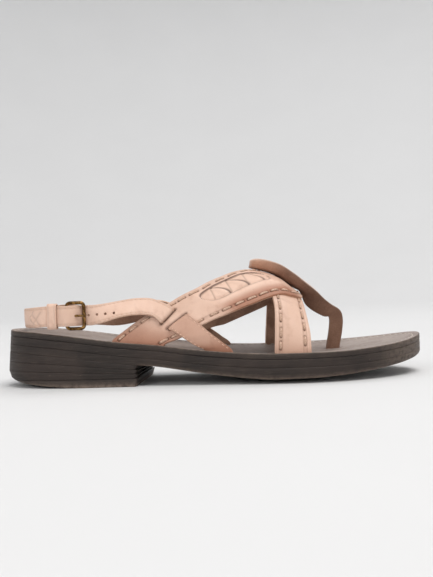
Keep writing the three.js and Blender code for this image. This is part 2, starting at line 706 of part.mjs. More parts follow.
function makeProng() {
  const ringRadius = eyeBore + prongRadius;
  const ring = toSolid(uprightBar(ringRadius, 2 * prongRadius));
  const stem = toSolid(prongStem(prongRadius));
  const bore = toSolid(uprightBar(eyeBore, 4 * prongRadius));
  return toGeometry(ring.add(stem).subtract(bore));
}

// Wire of the buckle's frame, swept round a rectangle with round corners
function makeFrame() {
  const path = [];
  const halfLength = buckleLength / 2;
  const halfHeight = buckleHeight / 2;
  const corners = [[1, 1], [-1, 1], [-1, -1], [1, -1]];
  corners.forEach(([sx, sz], corner) => {
    for (const step of evenSteps(0, 1, cornerSteps)) {
      const turn = (corner + step) * (Math.PI / 2);
      const x = sx * (halfLength - buckleCorner) + buckleCorner * Math.cos(turn);
      const z = sz * (halfHeight - buckleCorner) + buckleCorner * Math.sin(turn);
      path.push({ x, z, out: vector(Math.cos(turn), 0, Math.sin(turn)) });
    }
  });
  const points = [];
  const faces = [];
  const centre = vector(buckleRearBar + halfLength, buckleY - frameDepth, buckleZ);
  path.forEach(({ x, z, out }, i) => {
    for (let k = 0; k < wireSides; k += 1) {
      const turn = (2 * Math.PI * k) / wireSides;
      const spot = centre.clone().add(vector(x, 0, z)).addScaledVector(out, buckleWire * Math.cos(turn));
      points.push(spot.add(vector(0, buckleWire * Math.sin(turn), 0)));
      const next = (i + 1) % path.length;
      const side = (k + 1) % wireSides;
      const [from, to] = [i * wireSides, next * wireSides];
      faces.push([from + k, from + side, to + side, to + k]);
    }
  });
  return meshFrom(points, faces);
}

// Leather loop round both layers of the sling
function makeKeeper() {
  const inside = { low: -slingThickness / 2 - seatGap, high: tailDepth + slingThickness / 2 + seatGap };
  const half = slingWidth / 2 + seatGap;
  const x0 = keeperPosition - keeperWidth / 2;
  const ring = (wall, reach) => toSolid(box(
    x0 - reach, x0 + keeperWidth + reach,
    buckleY - inside.high - wall, buckleY - inside.low + wall,
    buckleZ - half - wall, buckleZ + half + wall,
  ));
  return toGeometry(ring(keeperWall, 0).subtract(ring(0, 1)));
}

// Middle points of the thong, from the free tip of the leaf to the foot of the toe post
function thongGrid() {
  const neck = leafRibs.length - 1;
  const halfColumns = thongColumns / 2;
  const centreAt = (count) => {
    const rib = ribAt(leafRibs, count);
    const lift = rib.rise * bandThickness + seatGap + thongThickness / 2;
    const top = footbedTop(rib.along, strapAcross) + instepHeight * readTable(ridge, 'height', rib.along);
    return vector(rib.along * soleLength, rib.side * postOffset, top + lift);
  };
  const leaf = evenSteps(0, neck, 2 * neck).map((count) => {
    const rib = ribAt(leafRibs, count);
    const travel = centreAt(Math.min(count + 0.5, neck)).sub(centreAt(Math.max(count - 0.5, 0)));
    const upright = vector(-travel.z, 0, travel.x).normalize();
    const step = (rib.width * leafWidth) / thongColumns;
    const turned = (angle) =>
      vector(0, -Math.cos(degrees(angle)), 0).addScaledVector(upright, Math.sin(degrees(angle)));
    const middle = centreAt(count);
    const near = [];
    const spot = middle.clone();
    for (let k = 0; k < halfColumns; k += 1) {
      spot.addScaledVector(turned(rib.roll + (rib.curl * (k + 0.5)) / halfColumns), step);
      near.unshift(spot.clone());
    }
    const far = evenSteps(1, halfColumns, halfColumns - 1)
      .map((k) => middle.clone().addScaledVector(turned(rib.roll), -k * step));
    return [...near, middle, ...far];
  });
  const base = footbedTop(shareOf(postPosition), postAcross(postPosition));
  const post = postRibs.map(({ shift, level, turn }) => {
    const middle = vector(postPosition + shift * postWidth, postOffset, base + level * postHeight);
    return postRow(middle, turn);
  });
  const x = postPosition + postRibs[postRibs.length - 1].shift * postWidth;
  const front = x + postWidth / 2;
  const foot = vector(x, postOffset, footbedBottom(shareOf(front), postAcross(front)));
  return [...leaf, ...post, postRow(foot, 0)];
}

const postAcross = (x) => postOffset / edgeY('medial', shareOf(x));

function postRow(middle, turn) {
  const width = vector(Math.cos(degrees(turn)), 0, Math.sin(degrees(turn)));
  return evenSteps(postWidth / 2, -postWidth / 2, thongColumns)
    .map((reach) => middle.clone().addScaledVector(width, reach));
}

// Holes of the sling's end, one behind another towards the instep
function adjustHoles() {
  return Array.from({ length: adjustHoleCount }, (unused, k) => {
    const x = frontBar + firstHole + k * adjustHolePitch;
    const z = buckleZ + k * holeRise;
    const reach = 3 * slingThickness;
    const ends = [-reach, reach].map((depth) => vector(x, buckleY + depth, z));
    return toSolid(bar(...ends, adjustHoleRadius, wireSides));
  });
}

const lateralGrid = lateralSlingGrid();
const medialGrid = medialSlingGrid();
const thongPoints = thongGrid();
const cutAll = (solid, cutters) => cutters.reduce((rest, cutter) => rest.subtract(cutter), solid);

function makeUpper() {
  const bands = toSolid(bandSheet(1, false)).add(toSolid(bandSheet(-1, true)));
  const windows = [toSolid(windowCutter(1, false)), toSolid(windowCutter(-1, true))];
  const slits = [lateralGrid, medialGrid].map((grid) => toSolid(sheet(grid, slingThickness, seatGap)));
  return toGeometry(cutAll(bands, [...windows, ...slits]));
}

function makeFootbed() {
  const plate = toSolid(soleLayer(footbedBottom, footbedTop, [
    { level: 0, inset: 0 },
    { level: 0.8, inset: 0 },
    { level: 1, inset: footbedEdgeRound },
  ]));
  const slots = [
    bandSheet(1, false, seatGap),
    bandSheet(-1, true, seatGap),
    sheet(lateralGrid, slingThickness, seatGap),
    sheet(medialGrid, slingThickness, seatGap),
    sheet(thongPoints, thongThickness, seatGap),
  ];
  return toGeometry(cutAll(plate, slots.map(toSolid)));
}

function makeLateralSling() {
  const strap = toSolid(sheet(lateralGrid, slingThickness));
  return toGeometry(cutAll(strap, [toSolid(prongStem(prongRadius + seatGap)), ...adjustHoles()]));
}

// Medial sling with the eye round the buckle's rear bar and the notch of the prong
function makeMedialSling() {
  const strap = toSolid(sheet(medialGrid, slingThickness));
  const eye = toSolid(uprightBar(eyeRadius, slingWidth));
  const bore = toSolid(uprightBar(eyeBore, 2 * slingWidth));
  const notchHalf = prongRadius + seatGap;
  const notchReach = eyeBore + prongRadius + seatGap;
  const notch = toSolid(box(
    buckleRearBar - notchReach, buckleRearBar + 2 * eyeRadius,
    buckleY - 2 * eyeRadius, buckleY + 2 * eyeRadius,
    buckleZ - notchHalf, buckleZ + notchHalf,
  ));
  return toGeometry(cutAll(strap.add(eye), [bore, notch]));
}

// Lifts of the heel between its top piece and the outsole
function liftHeights(number) {
  const base = topPieceThickness + seatGap;
  const seat = (share, across) => outsoleBottom(share, across) - seatGap;
  const gap = number < liftCount - 1 ? seatGap : 0;
  const bottom = (share, across) => blend(base, seat(share, across), number / liftCount);
  const top = (share, across) => blend(base, seat(share, across), (number + 1) / liftCount) - gap;
  return { bottom, top };
}

const soleLeather = new THREE.MeshStandardMaterial({ color: 0x3c322e, roughness: 0.6, metalness: 0 });
const footbedLeather = new THREE.MeshStandardMaterial({ color: 0xaea19b, roughness: 0.75, metalness: 0 });
const strapLeather = new THREE.MeshStandardMaterial({ color: 0xe3c4ac, roughness: 0.55, metalness: 0 });
const thongLeather = new THREE.MeshStandardMaterial({ color: 0xa5806c, roughness: 0.8, metalness: 0 });
const brass = new THREE.MeshStandardMaterial({ color: 0xa08050, roughness: 0.3, metalness: 1 });

const shoe = new THREE.Group();

function addPiece(name, geometry, material) {
  const mesh = new THREE.Mesh(geometry, material.clone());
  mesh.name = name;
  shoe.add(mesh);
}

addPiece('footbed', makeFootbed(), footbedLeather);
addPiece('midsole', soleLayer(midsoleBottom, midsoleTop, [
  { level: 0, inset: 0 },
  { level: 1, inset: 0 },
]), soleLeather);
addPiece('outsole', soleLayer(outsoleBottom, outsoleTop, [
  { level: 0, inset: soleEdgeRound },
  { level: 0.18, inset: 0.4 * soleEdgeRound },
  { level: 0.5, inset: 0 },
  { level: 1, inset: 0 },
]), soleLeather);
for (let number = liftCount - 1; number >= 0; number -= 1) {
  const { bottom, top } = liftHeights(number);
  addPiece(`heel_lift_${liftCount - number}`, heelLayer(bottom, top, [0, 1]), soleLeather);
}
addPiece('heel_top_piece', heelLayer(heelGround, () => topPieceThickness, [0, 0.2, 0.5, 1]), soleLeather);
addPiece('upper_straps', makeUpper(), strapLeather);
addPiece('thong', sheet(thongPoints, thongThickness), thongLeather);
addPiece('sling_strap_lateral', makeLateralSling(), strapLeather);
addPiece('sling_strap_medial', makeMedialSling(), strapLeather);
addPiece('strap_keeper', makeKeeper(), strapLeather);
addPiece('buckle_frame', makeFrame(), brass);
addPiece('buckle_prong', makeProng(), brass);

// The origin lies on the floor under the middle of the shoe
const bounds = new THREE.Box3().setFromObject(shoe);
const middle = bounds.getCenter(new THREE.Vector3());
shoe.position.set(-middle.x, -middle.y, -bounds.min.z);
const sandal = new THREE.Group();
sandal.add(shoe);

export default sandal;
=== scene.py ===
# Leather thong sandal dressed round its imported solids. Lengths in the tables are in millimetres.
import math

import bmesh
import bpy
import numpy as np
from mathutils import Matrix, Vector


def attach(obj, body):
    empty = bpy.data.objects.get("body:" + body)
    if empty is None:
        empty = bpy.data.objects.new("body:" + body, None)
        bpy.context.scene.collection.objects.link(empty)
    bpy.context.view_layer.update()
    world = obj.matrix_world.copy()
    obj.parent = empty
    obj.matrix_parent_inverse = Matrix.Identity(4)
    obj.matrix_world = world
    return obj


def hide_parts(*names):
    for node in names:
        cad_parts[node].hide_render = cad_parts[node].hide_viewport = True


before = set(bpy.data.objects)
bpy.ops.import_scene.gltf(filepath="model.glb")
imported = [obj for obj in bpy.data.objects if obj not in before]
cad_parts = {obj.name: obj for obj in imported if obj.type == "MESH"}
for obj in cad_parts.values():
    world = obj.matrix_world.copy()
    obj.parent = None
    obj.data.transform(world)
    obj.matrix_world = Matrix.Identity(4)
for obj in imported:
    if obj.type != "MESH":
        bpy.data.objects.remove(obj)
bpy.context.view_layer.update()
random = np.random.default_rng(7)

# The solids' origin in the shoe's own axes: x from the heel, y from its middle line, z from the floor
ORIGIN = np.array([131.0541, -0.5466, 0.0])

SOLE_LENGTH = 262.0
BALL_WIDTH = 94.0
HEEL_HEIGHT = 34.6
FOREPART_HEIGHT = 17.8
TOE_SPRING = 6.4
SOLE_THICKNESS = 15.2
FOOTBED_THICKNESS = 3.4
MIDSOLE_THICKNESS = 4.6
DISH_DEPTH = 3.0
SOLE_EDGE_ROUND = 2.2
BREAST_POSITION = 87.0
BREAST_SKEW = 5.0
BREAST_LEAN = 1.5
HEEL_FLARE = 2.6
HEEL_CORNER_ROUND = 6.0
HEEL_REAR_BEVEL = 3.6
LIFT_COUNT = 3
TOP_PIECE_THICKNESS = 4.6
INSTEP_HEIGHT = 46.5
BAND_THICKNESS = 2.4
BAND_OVERLAP = 0.6
BAND_DROP = 0.12
WINDOW_DEPTH = 0.9
STRAP_EDGE_INSET = 2.4
RIDGE_SHIFT = 4.0
THONG_THICKNESS = 2.2
LEAF_WIDTH = 21.0
POST_WIDTH = 9.0
POST_POSITION = 208.5
POST_OFFSET = 9.0
POST_HEIGHT = 19.2
SLING_WIDTH = 12.2
SLING_THICKNESS = 1.7
BUCKLE_REAR_BAR = 43.0
BUCKLE_LENGTH = 10.4
BUCKLE_HEIGHT = 15.4
BUCKLE_CORNER = 2.2
BUCKLE_WIRE = 1.05
PRONG_RADIUS = 0.8
HOLE_PITCH = 5.2
HOLE_RADIUS = 0.8
HOLE_COUNT = 4
FIRST_HOLE = 2.4
HOLE_RISE = 0.3
KEEPER_POSITION = 34.6
KEEPER_WIDTH = 5.6
KEEPER_WALL = 1.3
SEAT_GAP = 0.3
WEAVE_GAP = 0.4
STRAP_ACROSS = 0.92
BUCKLE_SIDE = 0.314
BUCKLE_RISE = 0.7
TAIL_EASE = 0.15
TAIL_SINK = 2.44
BAR_EASE = 0.3

# at, medial, lateral
OUTLINE = np.array([
    [0.0, 0.0, 0.0], [0.06, 0.272, 0.262], [0.12, 0.33, 0.326], [0.2, 0.346, 0.35],
    [0.3, 0.322, 0.368], [0.38, 0.304, 0.388], [0.46, 0.312, 0.416], [0.54, 0.356, 0.45],
    [0.62, 0.428, 0.484], [0.7, 0.481, 0.502], [0.78, 0.49, 0.476], [0.85, 0.47, 0.412],
    [0.91, 0.424, 0.32], [0.96, 0.33, 0.2], [1.0, 0.075, -0.075],
])
# at, rise, spring, thickness, dish
PROFILE = np.array([
    [0.0, 1.03, 0.0, 0.86, 0.1], [0.065, 0.97, 0.0, 0.86, 0.3], [0.12, 0.88, 0.0, 0.85, 0.4],
    [0.2, 0.71, 0.0, 0.84, 0.4], [0.25, 0.59, 0.0, 0.84, 0.4], [0.3, 0.49, 0.0, 0.84, 0.4],
    [0.37, 0.38, 0.0, 0.85, 0.45], [0.42, 0.27, 0.0, 0.87, 0.55], [0.47, 0.17, 0.0, 0.9, 0.7],
    [0.54, 0.07, 0.0, 0.95, 0.9], [0.63, 0.0, 0.0, 1.0, 1.0], [0.72, 0.0, 0.0, 0.98, 1.0],
    [0.78, 0.0, 0.03, 0.94, 0.95], [0.85, 0.0, 0.18, 0.9, 0.8], [0.92, 0.0, 0.43, 0.87, 0.5],
    [0.97, 0.0, 0.74, 0.86, 0.2], [1.0, 0.0, 1.0, 0.84, 0.0],
])
# at, height
RIDGE = np.array([
    [0.26, 0.4], [0.31, 0.54], [0.38, 0.71], [0.43, 0.83], [0.46, 0.885], [0.515, 0.965],
    [0.573, 1.0], [0.61, 0.975], [0.65, 0.89], [0.68, 0.76], [0.71, 0.625], [0.744, 0.525],
    [0.78, 0.45],
])
# rear along, rear round, front along, front round, lift, drop
BAND_RIBS = np.array([
    [0.264, -1.1, 0.386, -1.1, 0, 0],
    [0.266, -1.0, 0.386, -1.0, 0, 0],
    [0.308, -0.76, 0.425, -0.9, 0, 0.4],
    [0.345, -0.63, 0.458, -0.815, 0, 0.65],
    [0.392, -0.52, 0.498, -0.735, 0, 0.85],
    [0.43, -0.425, 0.53, -0.685, 0, 1],
    [0.46, -0.36, 0.558, -0.64, 0, 1],
    [0.486, -0.29, 0.586, -0.59, 0.05, 1],
    [0.513, -0.235, 0.618, -0.52, 0.35, 1],
    [0.541, -0.18, 0.65, -0.435, 0.85, 0.85],
    [0.569, -0.115, 0.681, -0.34, 1, 0.6],
    [0.59, -0.03, 0.702, -0.215, 1, 0.3],
    [0.605, 0.12, 0.706, 0.0, 1, 0.1],
    [0.62, 0.28, 0.706, 0.2, 1, 0],
    [0.633, 0.44, 0.707, 0.42, 0.85, 0],
    [0.637, 0.6, 0.71, 0.62, 0.35, 0],
    [0.635, 0.8, 0.713, 0.8, 0, 0],
    [0.632, 1.0, 0.713, 1.0, 0, 0],
    [0.632, 1.1, 0.713, 1.1, 0, 0],
])
# rib, middle, half
WINDOW_RIBS = np.array([
    [5.15, -0.16, 0.04], [5.3, -0.16, 0.22], [5.6, -0.17, 0.33], [6.1, -0.18, 0.38],
    [7.0, -0.19, 0.4], [8.0, -0.2, 0.4], [9.0, -0.2, 0.39], [9.7, -0.2, 0.34],
    [10.1, -0.2, 0.24], [10.3, -0.2, 0.05],
])
# fore along, fore round, aft along, aft round, layer
LEG_RIBS = np.array([
    [0.541, 1.1, 0.477, 1.1, 0], [0.541, 1.0, 0.477, 1.0, 0.05], [0.517, 0.92, 0.452, 0.955, 0.6],
    [0.489, 0.845, 0.425, 0.895, 1], [0.462, 0.755, 0.407, 0.85, 1],
    [0.4435, 0.69, 0.398, 0.832, 1], [0.4355, 0.665, 0.3925, 0.814, -1],
    [0.417, 0.62, 0.3825, 0.776, -1], [0.409, 0.6, 0.3775, 0.755, 1],
])
# along, side, height, drop of the medial strap, lean
SLING_RUN = [
    (0.358, 0.276, 0.97, 0.12, 34), (0.322, 0.3, 1.04, 0.4, 38), (0.286, 0.312, 0.95, 0.5, 38),
    (0.248, 0.315, 0.78, 0.38, 24),
]
SLING_HEEL = [
    (0.092, 0.27, 0.665, 0, 0), (0.069, 0.19, 0.64, 0, -5), (0.052, 0.1, 0.62, 0, -9),
    (0.047, 0.0, 0.61, 0, -10),
]
# place along the heel strap, width
TAIL_ROWS = [(0.2, 1.0), (0.28, 1.0), (0.36, 0.92), (0.48, 0.14)]
# along, side, width, rise, roll, curl
LEAF_RIBS = np.array([
    [0.588, 0, 0.5, 2.0, 2, 88],
    [0.597, 0, 0.68, 2.0, 2, 94],
    [0.61, 0, 0.76, 2.0, 2, 98],
    [0.635, 0, 0.82, 2.1, 2, 94],
    [0.662, 0, 0.86, 2.35, 2, 88],
    [0.69, 0, 0.88, 2.6, 2, 84],
    [0.714, 0.04, 0.78, 3, 2, 72],
    [0.739, 0.3, 0.66, 1.6, 38, 42],
    [0.761, 0.62, 0.52, 0.65, 64, 16],
    [0.781, 0.9, 0.44, 0, 86, 0],
])
# shift, level, turn
POST_RIBS = [(0.02, 1.17, 24), (0.14, 1.0, 2), (0.06, 0.55, 0), (-0.17, 0.0, 0)]


# Shapes shared with the solids


def curve(keys, values, x):
    """Smooth value between the rows of a table."""
    keys = np.asarray(keys, float)
    values = np.asarray(values, float)
    x = np.clip(np.asarray(x, float), keys[0], keys[-1])
    span = np.diff(keys)
    steep = np.diff(values) / span
    slope = np.empty(len(keys))
    slope[0], slope[-1] = steep[0], steep[-1]
    product = steep[:-1] * steep[1:]
    total = steep[:-1] + steep[1:]
    slope[1:-1] = np.where(product <= 0, 0, 2 * product / np.where(product <= 0, 1, total))
    row = np.clip(np.searchsorted(keys, x, side="right") - 1, 0, len(keys) - 2)
    h = span[row]
    t = (x - keys[row]) / h
    start, end = values[row], values[row + 1]
    m0, m1 = slope[row] * h, slope[row + 1] * h
    a = 2 * start - 2 * end + m0 + m1
    b = -3 * start + 3 * end - 2 * m0 - m1
    return ((a * t + b) * t + m0) * t + start


def mix(a, b, t):
    return a + (b - a) * t


def smooth(low, high, x):
    t = np.clip((np.asarray(x, float) - low) / (high - low), 0, 1)
    return t * t * (3 - 2 * t)


def bump_at(x, middle, half):
    """Soft hill of height 1 round a place."""
    return np.exp(-(((x - middle) / half) ** 2))


def unit(v):
    return v / np.maximum(np.linalg.norm(v, axis=-1, keepdims=True), 1e-12)


def stack(*parts):
    return np.stack(np.broadcast_arrays(*parts), -1).astype(float)


def round_angle(share):
    return np.arccos(1 - 2 * np.clip(share, 0, 1))


def edge_y(side, share):
    column, sign = (1, 1) if side == "medial" else (2, -1)
    width = curve(round_angle(OUTLINE[:, 0]), OUTLINE[:, column], round_angle(share))
    return sign * BALL_WIDTH * width


def profile(column, share):
    return curve(PROFILE[:, 0], PROFILE[:, column], share)


def footbed_top(share, across):
    drop = HEEL_HEIGHT - FOREPART_HEIGHT
    edge = FOREPART_HEIGHT + drop * profile(1, share) + TOE_SPRING * profile(2, share)
    return edge - DISH_DEPTH * profile(4, share) * (1 - across * across)


def footbed_bottom(share, across):
    return footbed_top(share, across) - FOOTBED_THICKNESS


def midsole_top(share, across):
    return footbed_bottom(share, across) - SEAT_GAP


def midsole_bottom(share, across):
    return midsole_top(share, across) - MIDSOLE_THICKNESS


def outsole_top(share, across):
    return midsole_bottom(share, across) - SEAT_GAP


def outsole_bottom(share, across):
    return np.maximum(0, footbed_top(share, across) - SOLE_THICKNESS * profile(3, share))


def heel_ground(share):
    back = np.maximum(0, 1 - share / (0.6 * BREAST_POSITION / SOLE_LENGTH))
    return HEEL_REAR_BEVEL * back**1.4


def heel_inset(share, height):
    breast = BREAST_POSITION / SOLE_LENGTH
    flare = HEEL_FLARE * np.maximum(0, 1 - share / breast) * np.maximum(0, height / HEEL_HEIGHT - 0.25)
    rear = np.maximum(0, 1 - share / (0.55 * breast)) ** 1.5
    corner = 0.8 + (HEEL_CORNER_ROUND - 0.8) * rear
    rest = corner - np.minimum(height - heel_ground(share), corner)
    return flare + corner - np.sqrt(np.maximum(0, corner * corner - rest * rest))


def rim_point(side, share, inset):
    step = 0.002
    before, after = np.maximum(0, share - step), np.minimum(1, share + step)
    dx = (after - before) * SOLE_LENGTH
    dy = edge_y(side, after) - edge_y(side, before)
    reach = inset / np.hypot(dx, dy)
    inward = 1 if side == "lateral" else -1
    return share * SOLE_LENGTH - inward * reach * dy, edge_y(side, share) + inward * reach * dx


def sole_point(share, across, height, inset):
    """Points of one level of the sole. Height and inset are functions of share and across or height."""
    low = rim_point("lateral", share, inset(share, height(share, -1.0)))
    high = rim_point("medial", share, inset(share, height(share, 1.0)))
    t = (across + 1) / 2
    return stack(mix(low[0], high[0], t), mix(low[1], high[1], t), height(share, across))


def last_surface(share, around):
    lateral = edge_y("lateral", share) + STRAP_EDGE_INSET + BAND_THICKNESS
    medial = edge_y("medial", share) - STRAP_EDGE_INSET - BAND_THICKNESS
    half = (medial - lateral) / 2
    turn = np.clip(around, -1, 1) * (np.pi / 2)
    below = np.maximum(0, np.abs(around) - 1) * 10
    height = INSTEP_HEIGHT * curve(RIDGE[:, 0], RIDGE[:, 1], share)
    side = (lateral + medial) / 2 + half * np.sin(turn) + RIDGE_SHIFT * np.cos(turn)
    top = footbed_top(share, STRAP_ACROSS) + height * np.cos(turn)
    return stack(share * SOLE_LENGTH, side, top - below * FOOTBED_THICKNESS)


def last_point(share, around, lift):
    step = 0.004
    forward = last_surface(share + step, around) - last_surface(share - step, around)
    side = last_surface(share, around + step) - last_surface(share, around - step)
    outward = -unit(np.cross(side, forward))
    return last_surface(share, around) + outward * np.asarray(lift)[..., None]


def ribs_at(table, count):
    keys = np.arange(len(table))
    return [curve(keys, table[:, k], count) for k in range(table.shape[1])]


def band_point(hand, upper, count, across, lift):
    """Point of a band. Count runs along its ribs, across from the front edge at -1 to the rear one at 1."""
    rear_along, rear_round, front_along, front_round, climb, drop = ribs_at(BAND_RIBS, count)
    t = (across + 1) / 2
    rise = climb * (BAND_THICKNESS - BAND_OVERLAP) if upper else 0
    front_round = front_round - (0 if upper else BAND_DROP * drop)
    return last_point(mix(front_along, rear_along, t), -hand * mix(front_round, rear_round, t), lift + rise)


def centripetal(controls, place):
    """Points of a centripetal spline through controls, place running from 0 to their count less one."""
    controls = np.asarray(controls, float)
    first = 2 * controls[:1] - controls[1:2]
    last = 2 * controls[-1:] - controls[-2:-1]
    padded = np.concatenate([first, controls, last])
    place = np.clip(np.asarray(place, float), 0, len(controls) - 1)
    row = np.minimum(place.astype(int), len(controls) - 2)
    t = (place - row)[:, None]
    p0, p1, p2, p3 = (padded[row + k] for k in range(4))
    d0, d1, d2 = (np.maximum(np.linalg.norm(b - a, axis=-1, keepdims=True) ** 0.5, 1e-4)
                  for a, b in ((p0, p1), (p1, p2), (p2, p3)))
    m1 = ((p1 - p0) / d0 - (p2 - p0) / (d0 + d1) + (p2 - p1) / d1) * d1
    m2 = ((p2 - p1) / d1 - (p3 - p1) / (d1 + d2) + (p3 - p2) / d2) * d1
    return p1 + m1 * t + (-3 * p1 + 3 * p2 - 2 * m1 - m2) * t**2 + (2 * p1 - 2 * p2 + m1 + m2) * t**3


# Meshes


def metres(points):
    return (np.asarray(points, float) - ORIGIN) / 1000


def linked(name, data):
    piece = bpy.data.objects.new(name, data)
    bpy.context.scene.collection.objects.link(piece)
    return piece


def plain_object(name, points, faces):
    """Object from points in the shoe's millimetres."""
    mesh = bpy.data.meshes.new(name)
    mesh.from_pydata(metres(points).tolist(), [], [list(map(int, face)) for face in faces])
    mesh.update()
    return linked(name, mesh)


def add_attributes(mesh, attributes):
    for key, values in attributes.items():
        values = np.asarray(values, np.float32)
        kind, field = ("FLOAT_VECTOR", "vector") if values.ndim == 2 else ("FLOAT", "value")
        mesh.attributes.new(key, kind, "POINT").data.foreach_set(field, values.ravel())


def make_object(name, points, faces, materials, face_material=None, attributes=None):
    """Object with materials and point attributes, riding on the shoe's one body."""
    piece = plain_object(name, points, faces)
    mesh = piece.data
    for material in materials:
        mesh.materials.append(material)
    if face_material is not None:
        mesh.polygons.foreach_set("material_index", np.asarray(face_material, np.int32))
    mesh.polygons.foreach_set("use_smooth", np.ones(len(mesh.polygons), bool))
    add_attributes(mesh, attributes or {})
    mesh.validate()
    mesh.update()
    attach(piece, "root")
    return piece


def fix_normals(piece):
    """Turns all faces of a piece outward."""
    work = bmesh.new()
    work.from_mesh(piece.data)
    bmesh.ops.recalc_face_normals(work, faces=work.faces)
    work.to_mesh(piece.data)
    work.free()
    return piece


def grid_faces(rows, columns, start=0, flip=False):
    i, j = np.meshgrid(np.arange(rows - 1), np.arange(columns - 1), indexing="ij")
    a = start + i * columns + j
    quads = np.stack([a, a + columns, a + columns + 1, a + 1], -1).reshape(-1, 4)
    return quads[:, ::-1] if flip else quads


def shell(top, bottom):
    """Closed skin of two equal grids that share their boundary points."""
    rows, columns, _ = top.shape
    inner = np.zeros((rows, columns), bool)
    inner[1:-1, 1:-1] = True
    number = np.arange(rows * columns).reshape(rows, columns)
    lower = number.copy()
    lower[inner] = rows * columns + np.arange(inner.sum())
    points = np.concatenate([top.reshape(-1, 3), bottom[inner]])
    up = grid_faces(rows, columns)
    i, j = np.meshgrid(np.arange(rows - 1), np.arange(columns - 1), indexing="ij")
    down = np.stack([lower[i, j], lower[i, j + 1], lower[i + 1, j + 1], lower[i + 1, j]], -1).reshape(-1, 4)
    return points, up, down, inner


def grid_normals(grid):
    along = np.gradient(grid, axis=0)
    across = np.gradient(grid, axis=1)
    return unit(np.cross(along, across))


def arc_lengths(line):
    return np.concatenate([[0], np.cumsum(np.linalg.norm(np.diff(line, axis=0), axis=1))])


def closed_line(line):
    return np.concatenate([line, line[:1]])


def sampled(at, keys, table):
    """Rows of a table of any depth, interpolated at some places."""
    columns = table.reshape(len(table), -1).T
    rows = np.stack([np.interp(at, keys, column) for column in columns], -1)
    return rows.reshape(len(at), *table.shape[1:])


def even_places(line, step):
    """Places along a dense line, counted in its rows, a fixed step apart."""
    lengths = arc_lengths(line)
    count = max(8, int(round(lengths[-1] / step)))
    return np.interp(np.linspace(0, lengths[-1], count + 1), lengths, np.arange(len(line)))


def evened(rows, line, step):
    return sampled(even_places(line, step), np.arange(len(rows)), rows)


def soften(rows, times):
    """Draws each row but the first and last towards its neighbours."""
    for _ in range(times):
        rows[1:-1] = 0.25 * rows[:-2] + 0.5 * rows[1:-1] + 0.25 * rows[2:]
    return rows


def ring_numbers(rows, columns):
    """Numbers of a grid's boundary points, once round."""
    rim = [(i, 0) for i in range(rows)] + [(rows - 1, j) for j in range(1, columns)]
    rim += [(i, columns - 1) for i in range(rows - 2, -1, -1)] + [(0, j) for j in range(columns - 2, 0, -1)]
    return np.array([i * columns + j for i, j in rim])


def ring_quads(low, high):
    """Faces between two rings of point numbers."""
    return np.stack([low, np.roll(low, -1), np.roll(high, -1), high], -1)


def tube(line, side, up, radii, sides, flatten=1.0):
    """Points and faces of a bar along a line, closed at both ends."""
    points = []
    for spot, s, u, radius in zip(line, side, up, radii):
        for turn in 2 * np.pi * np.arange(sides) / sides:
            points.append(spot + radius * (s * np.cos(turn) + u * flatten * np.sin(turn)))
    rings = np.arange(len(points)).reshape(-1, sides)
    faces = np.concatenate([ring_quads(low, high) for low, high in zip(rings, rings[1:])]).tolist()
    return points, [*faces, rings[0, ::-1].tolist(), rings[-1].tolist()]


EDGE_STEPS = np.array([0, 0.05, 0.14, 0.28, 0.48, 0.75, 1.1])


def strap_columns(width, columns):
    """Distances from the first edge for each row of a strap, fine near both edges."""
    width = np.asarray(width, float)[:, None]
    scale = np.minimum(1, width / (4 * EDGE_STEPS[-1]))
    near = EDGE_STEPS[None, :] * scale
    span = np.linspace(0, 1, columns)[None, 1:-1]
    middle = mix(near[:, -1:], width - near[:, -1:], span)
    return np.concatenate([near, middle, width - near[:, ::-1]], axis=1)


CORNER_POWER = 2.6


def edge_round(distance, reach):
    """1 inside the strap, falling to 0 at its edge along a rounded corner."""
    t = np.clip(distance / reach, 0, 1)
    return (1 - (1 - t) ** CORNER_POWER) ** (1 / CORNER_POWER)


# Materials


def linear(red, green, blue):
    """Linear colour from the 0 to 255 numbers seen in a picture."""
    shares = (np.array([red, green, blue]) / 255) ** 2.2
    return (*shares.tolist(), 1.0)


# Sockets of a Mix node that mixes colours: factor, A and B, and the result
MIX_INPUTS = (0, 6, 7)
MIX_OUTPUT = 2


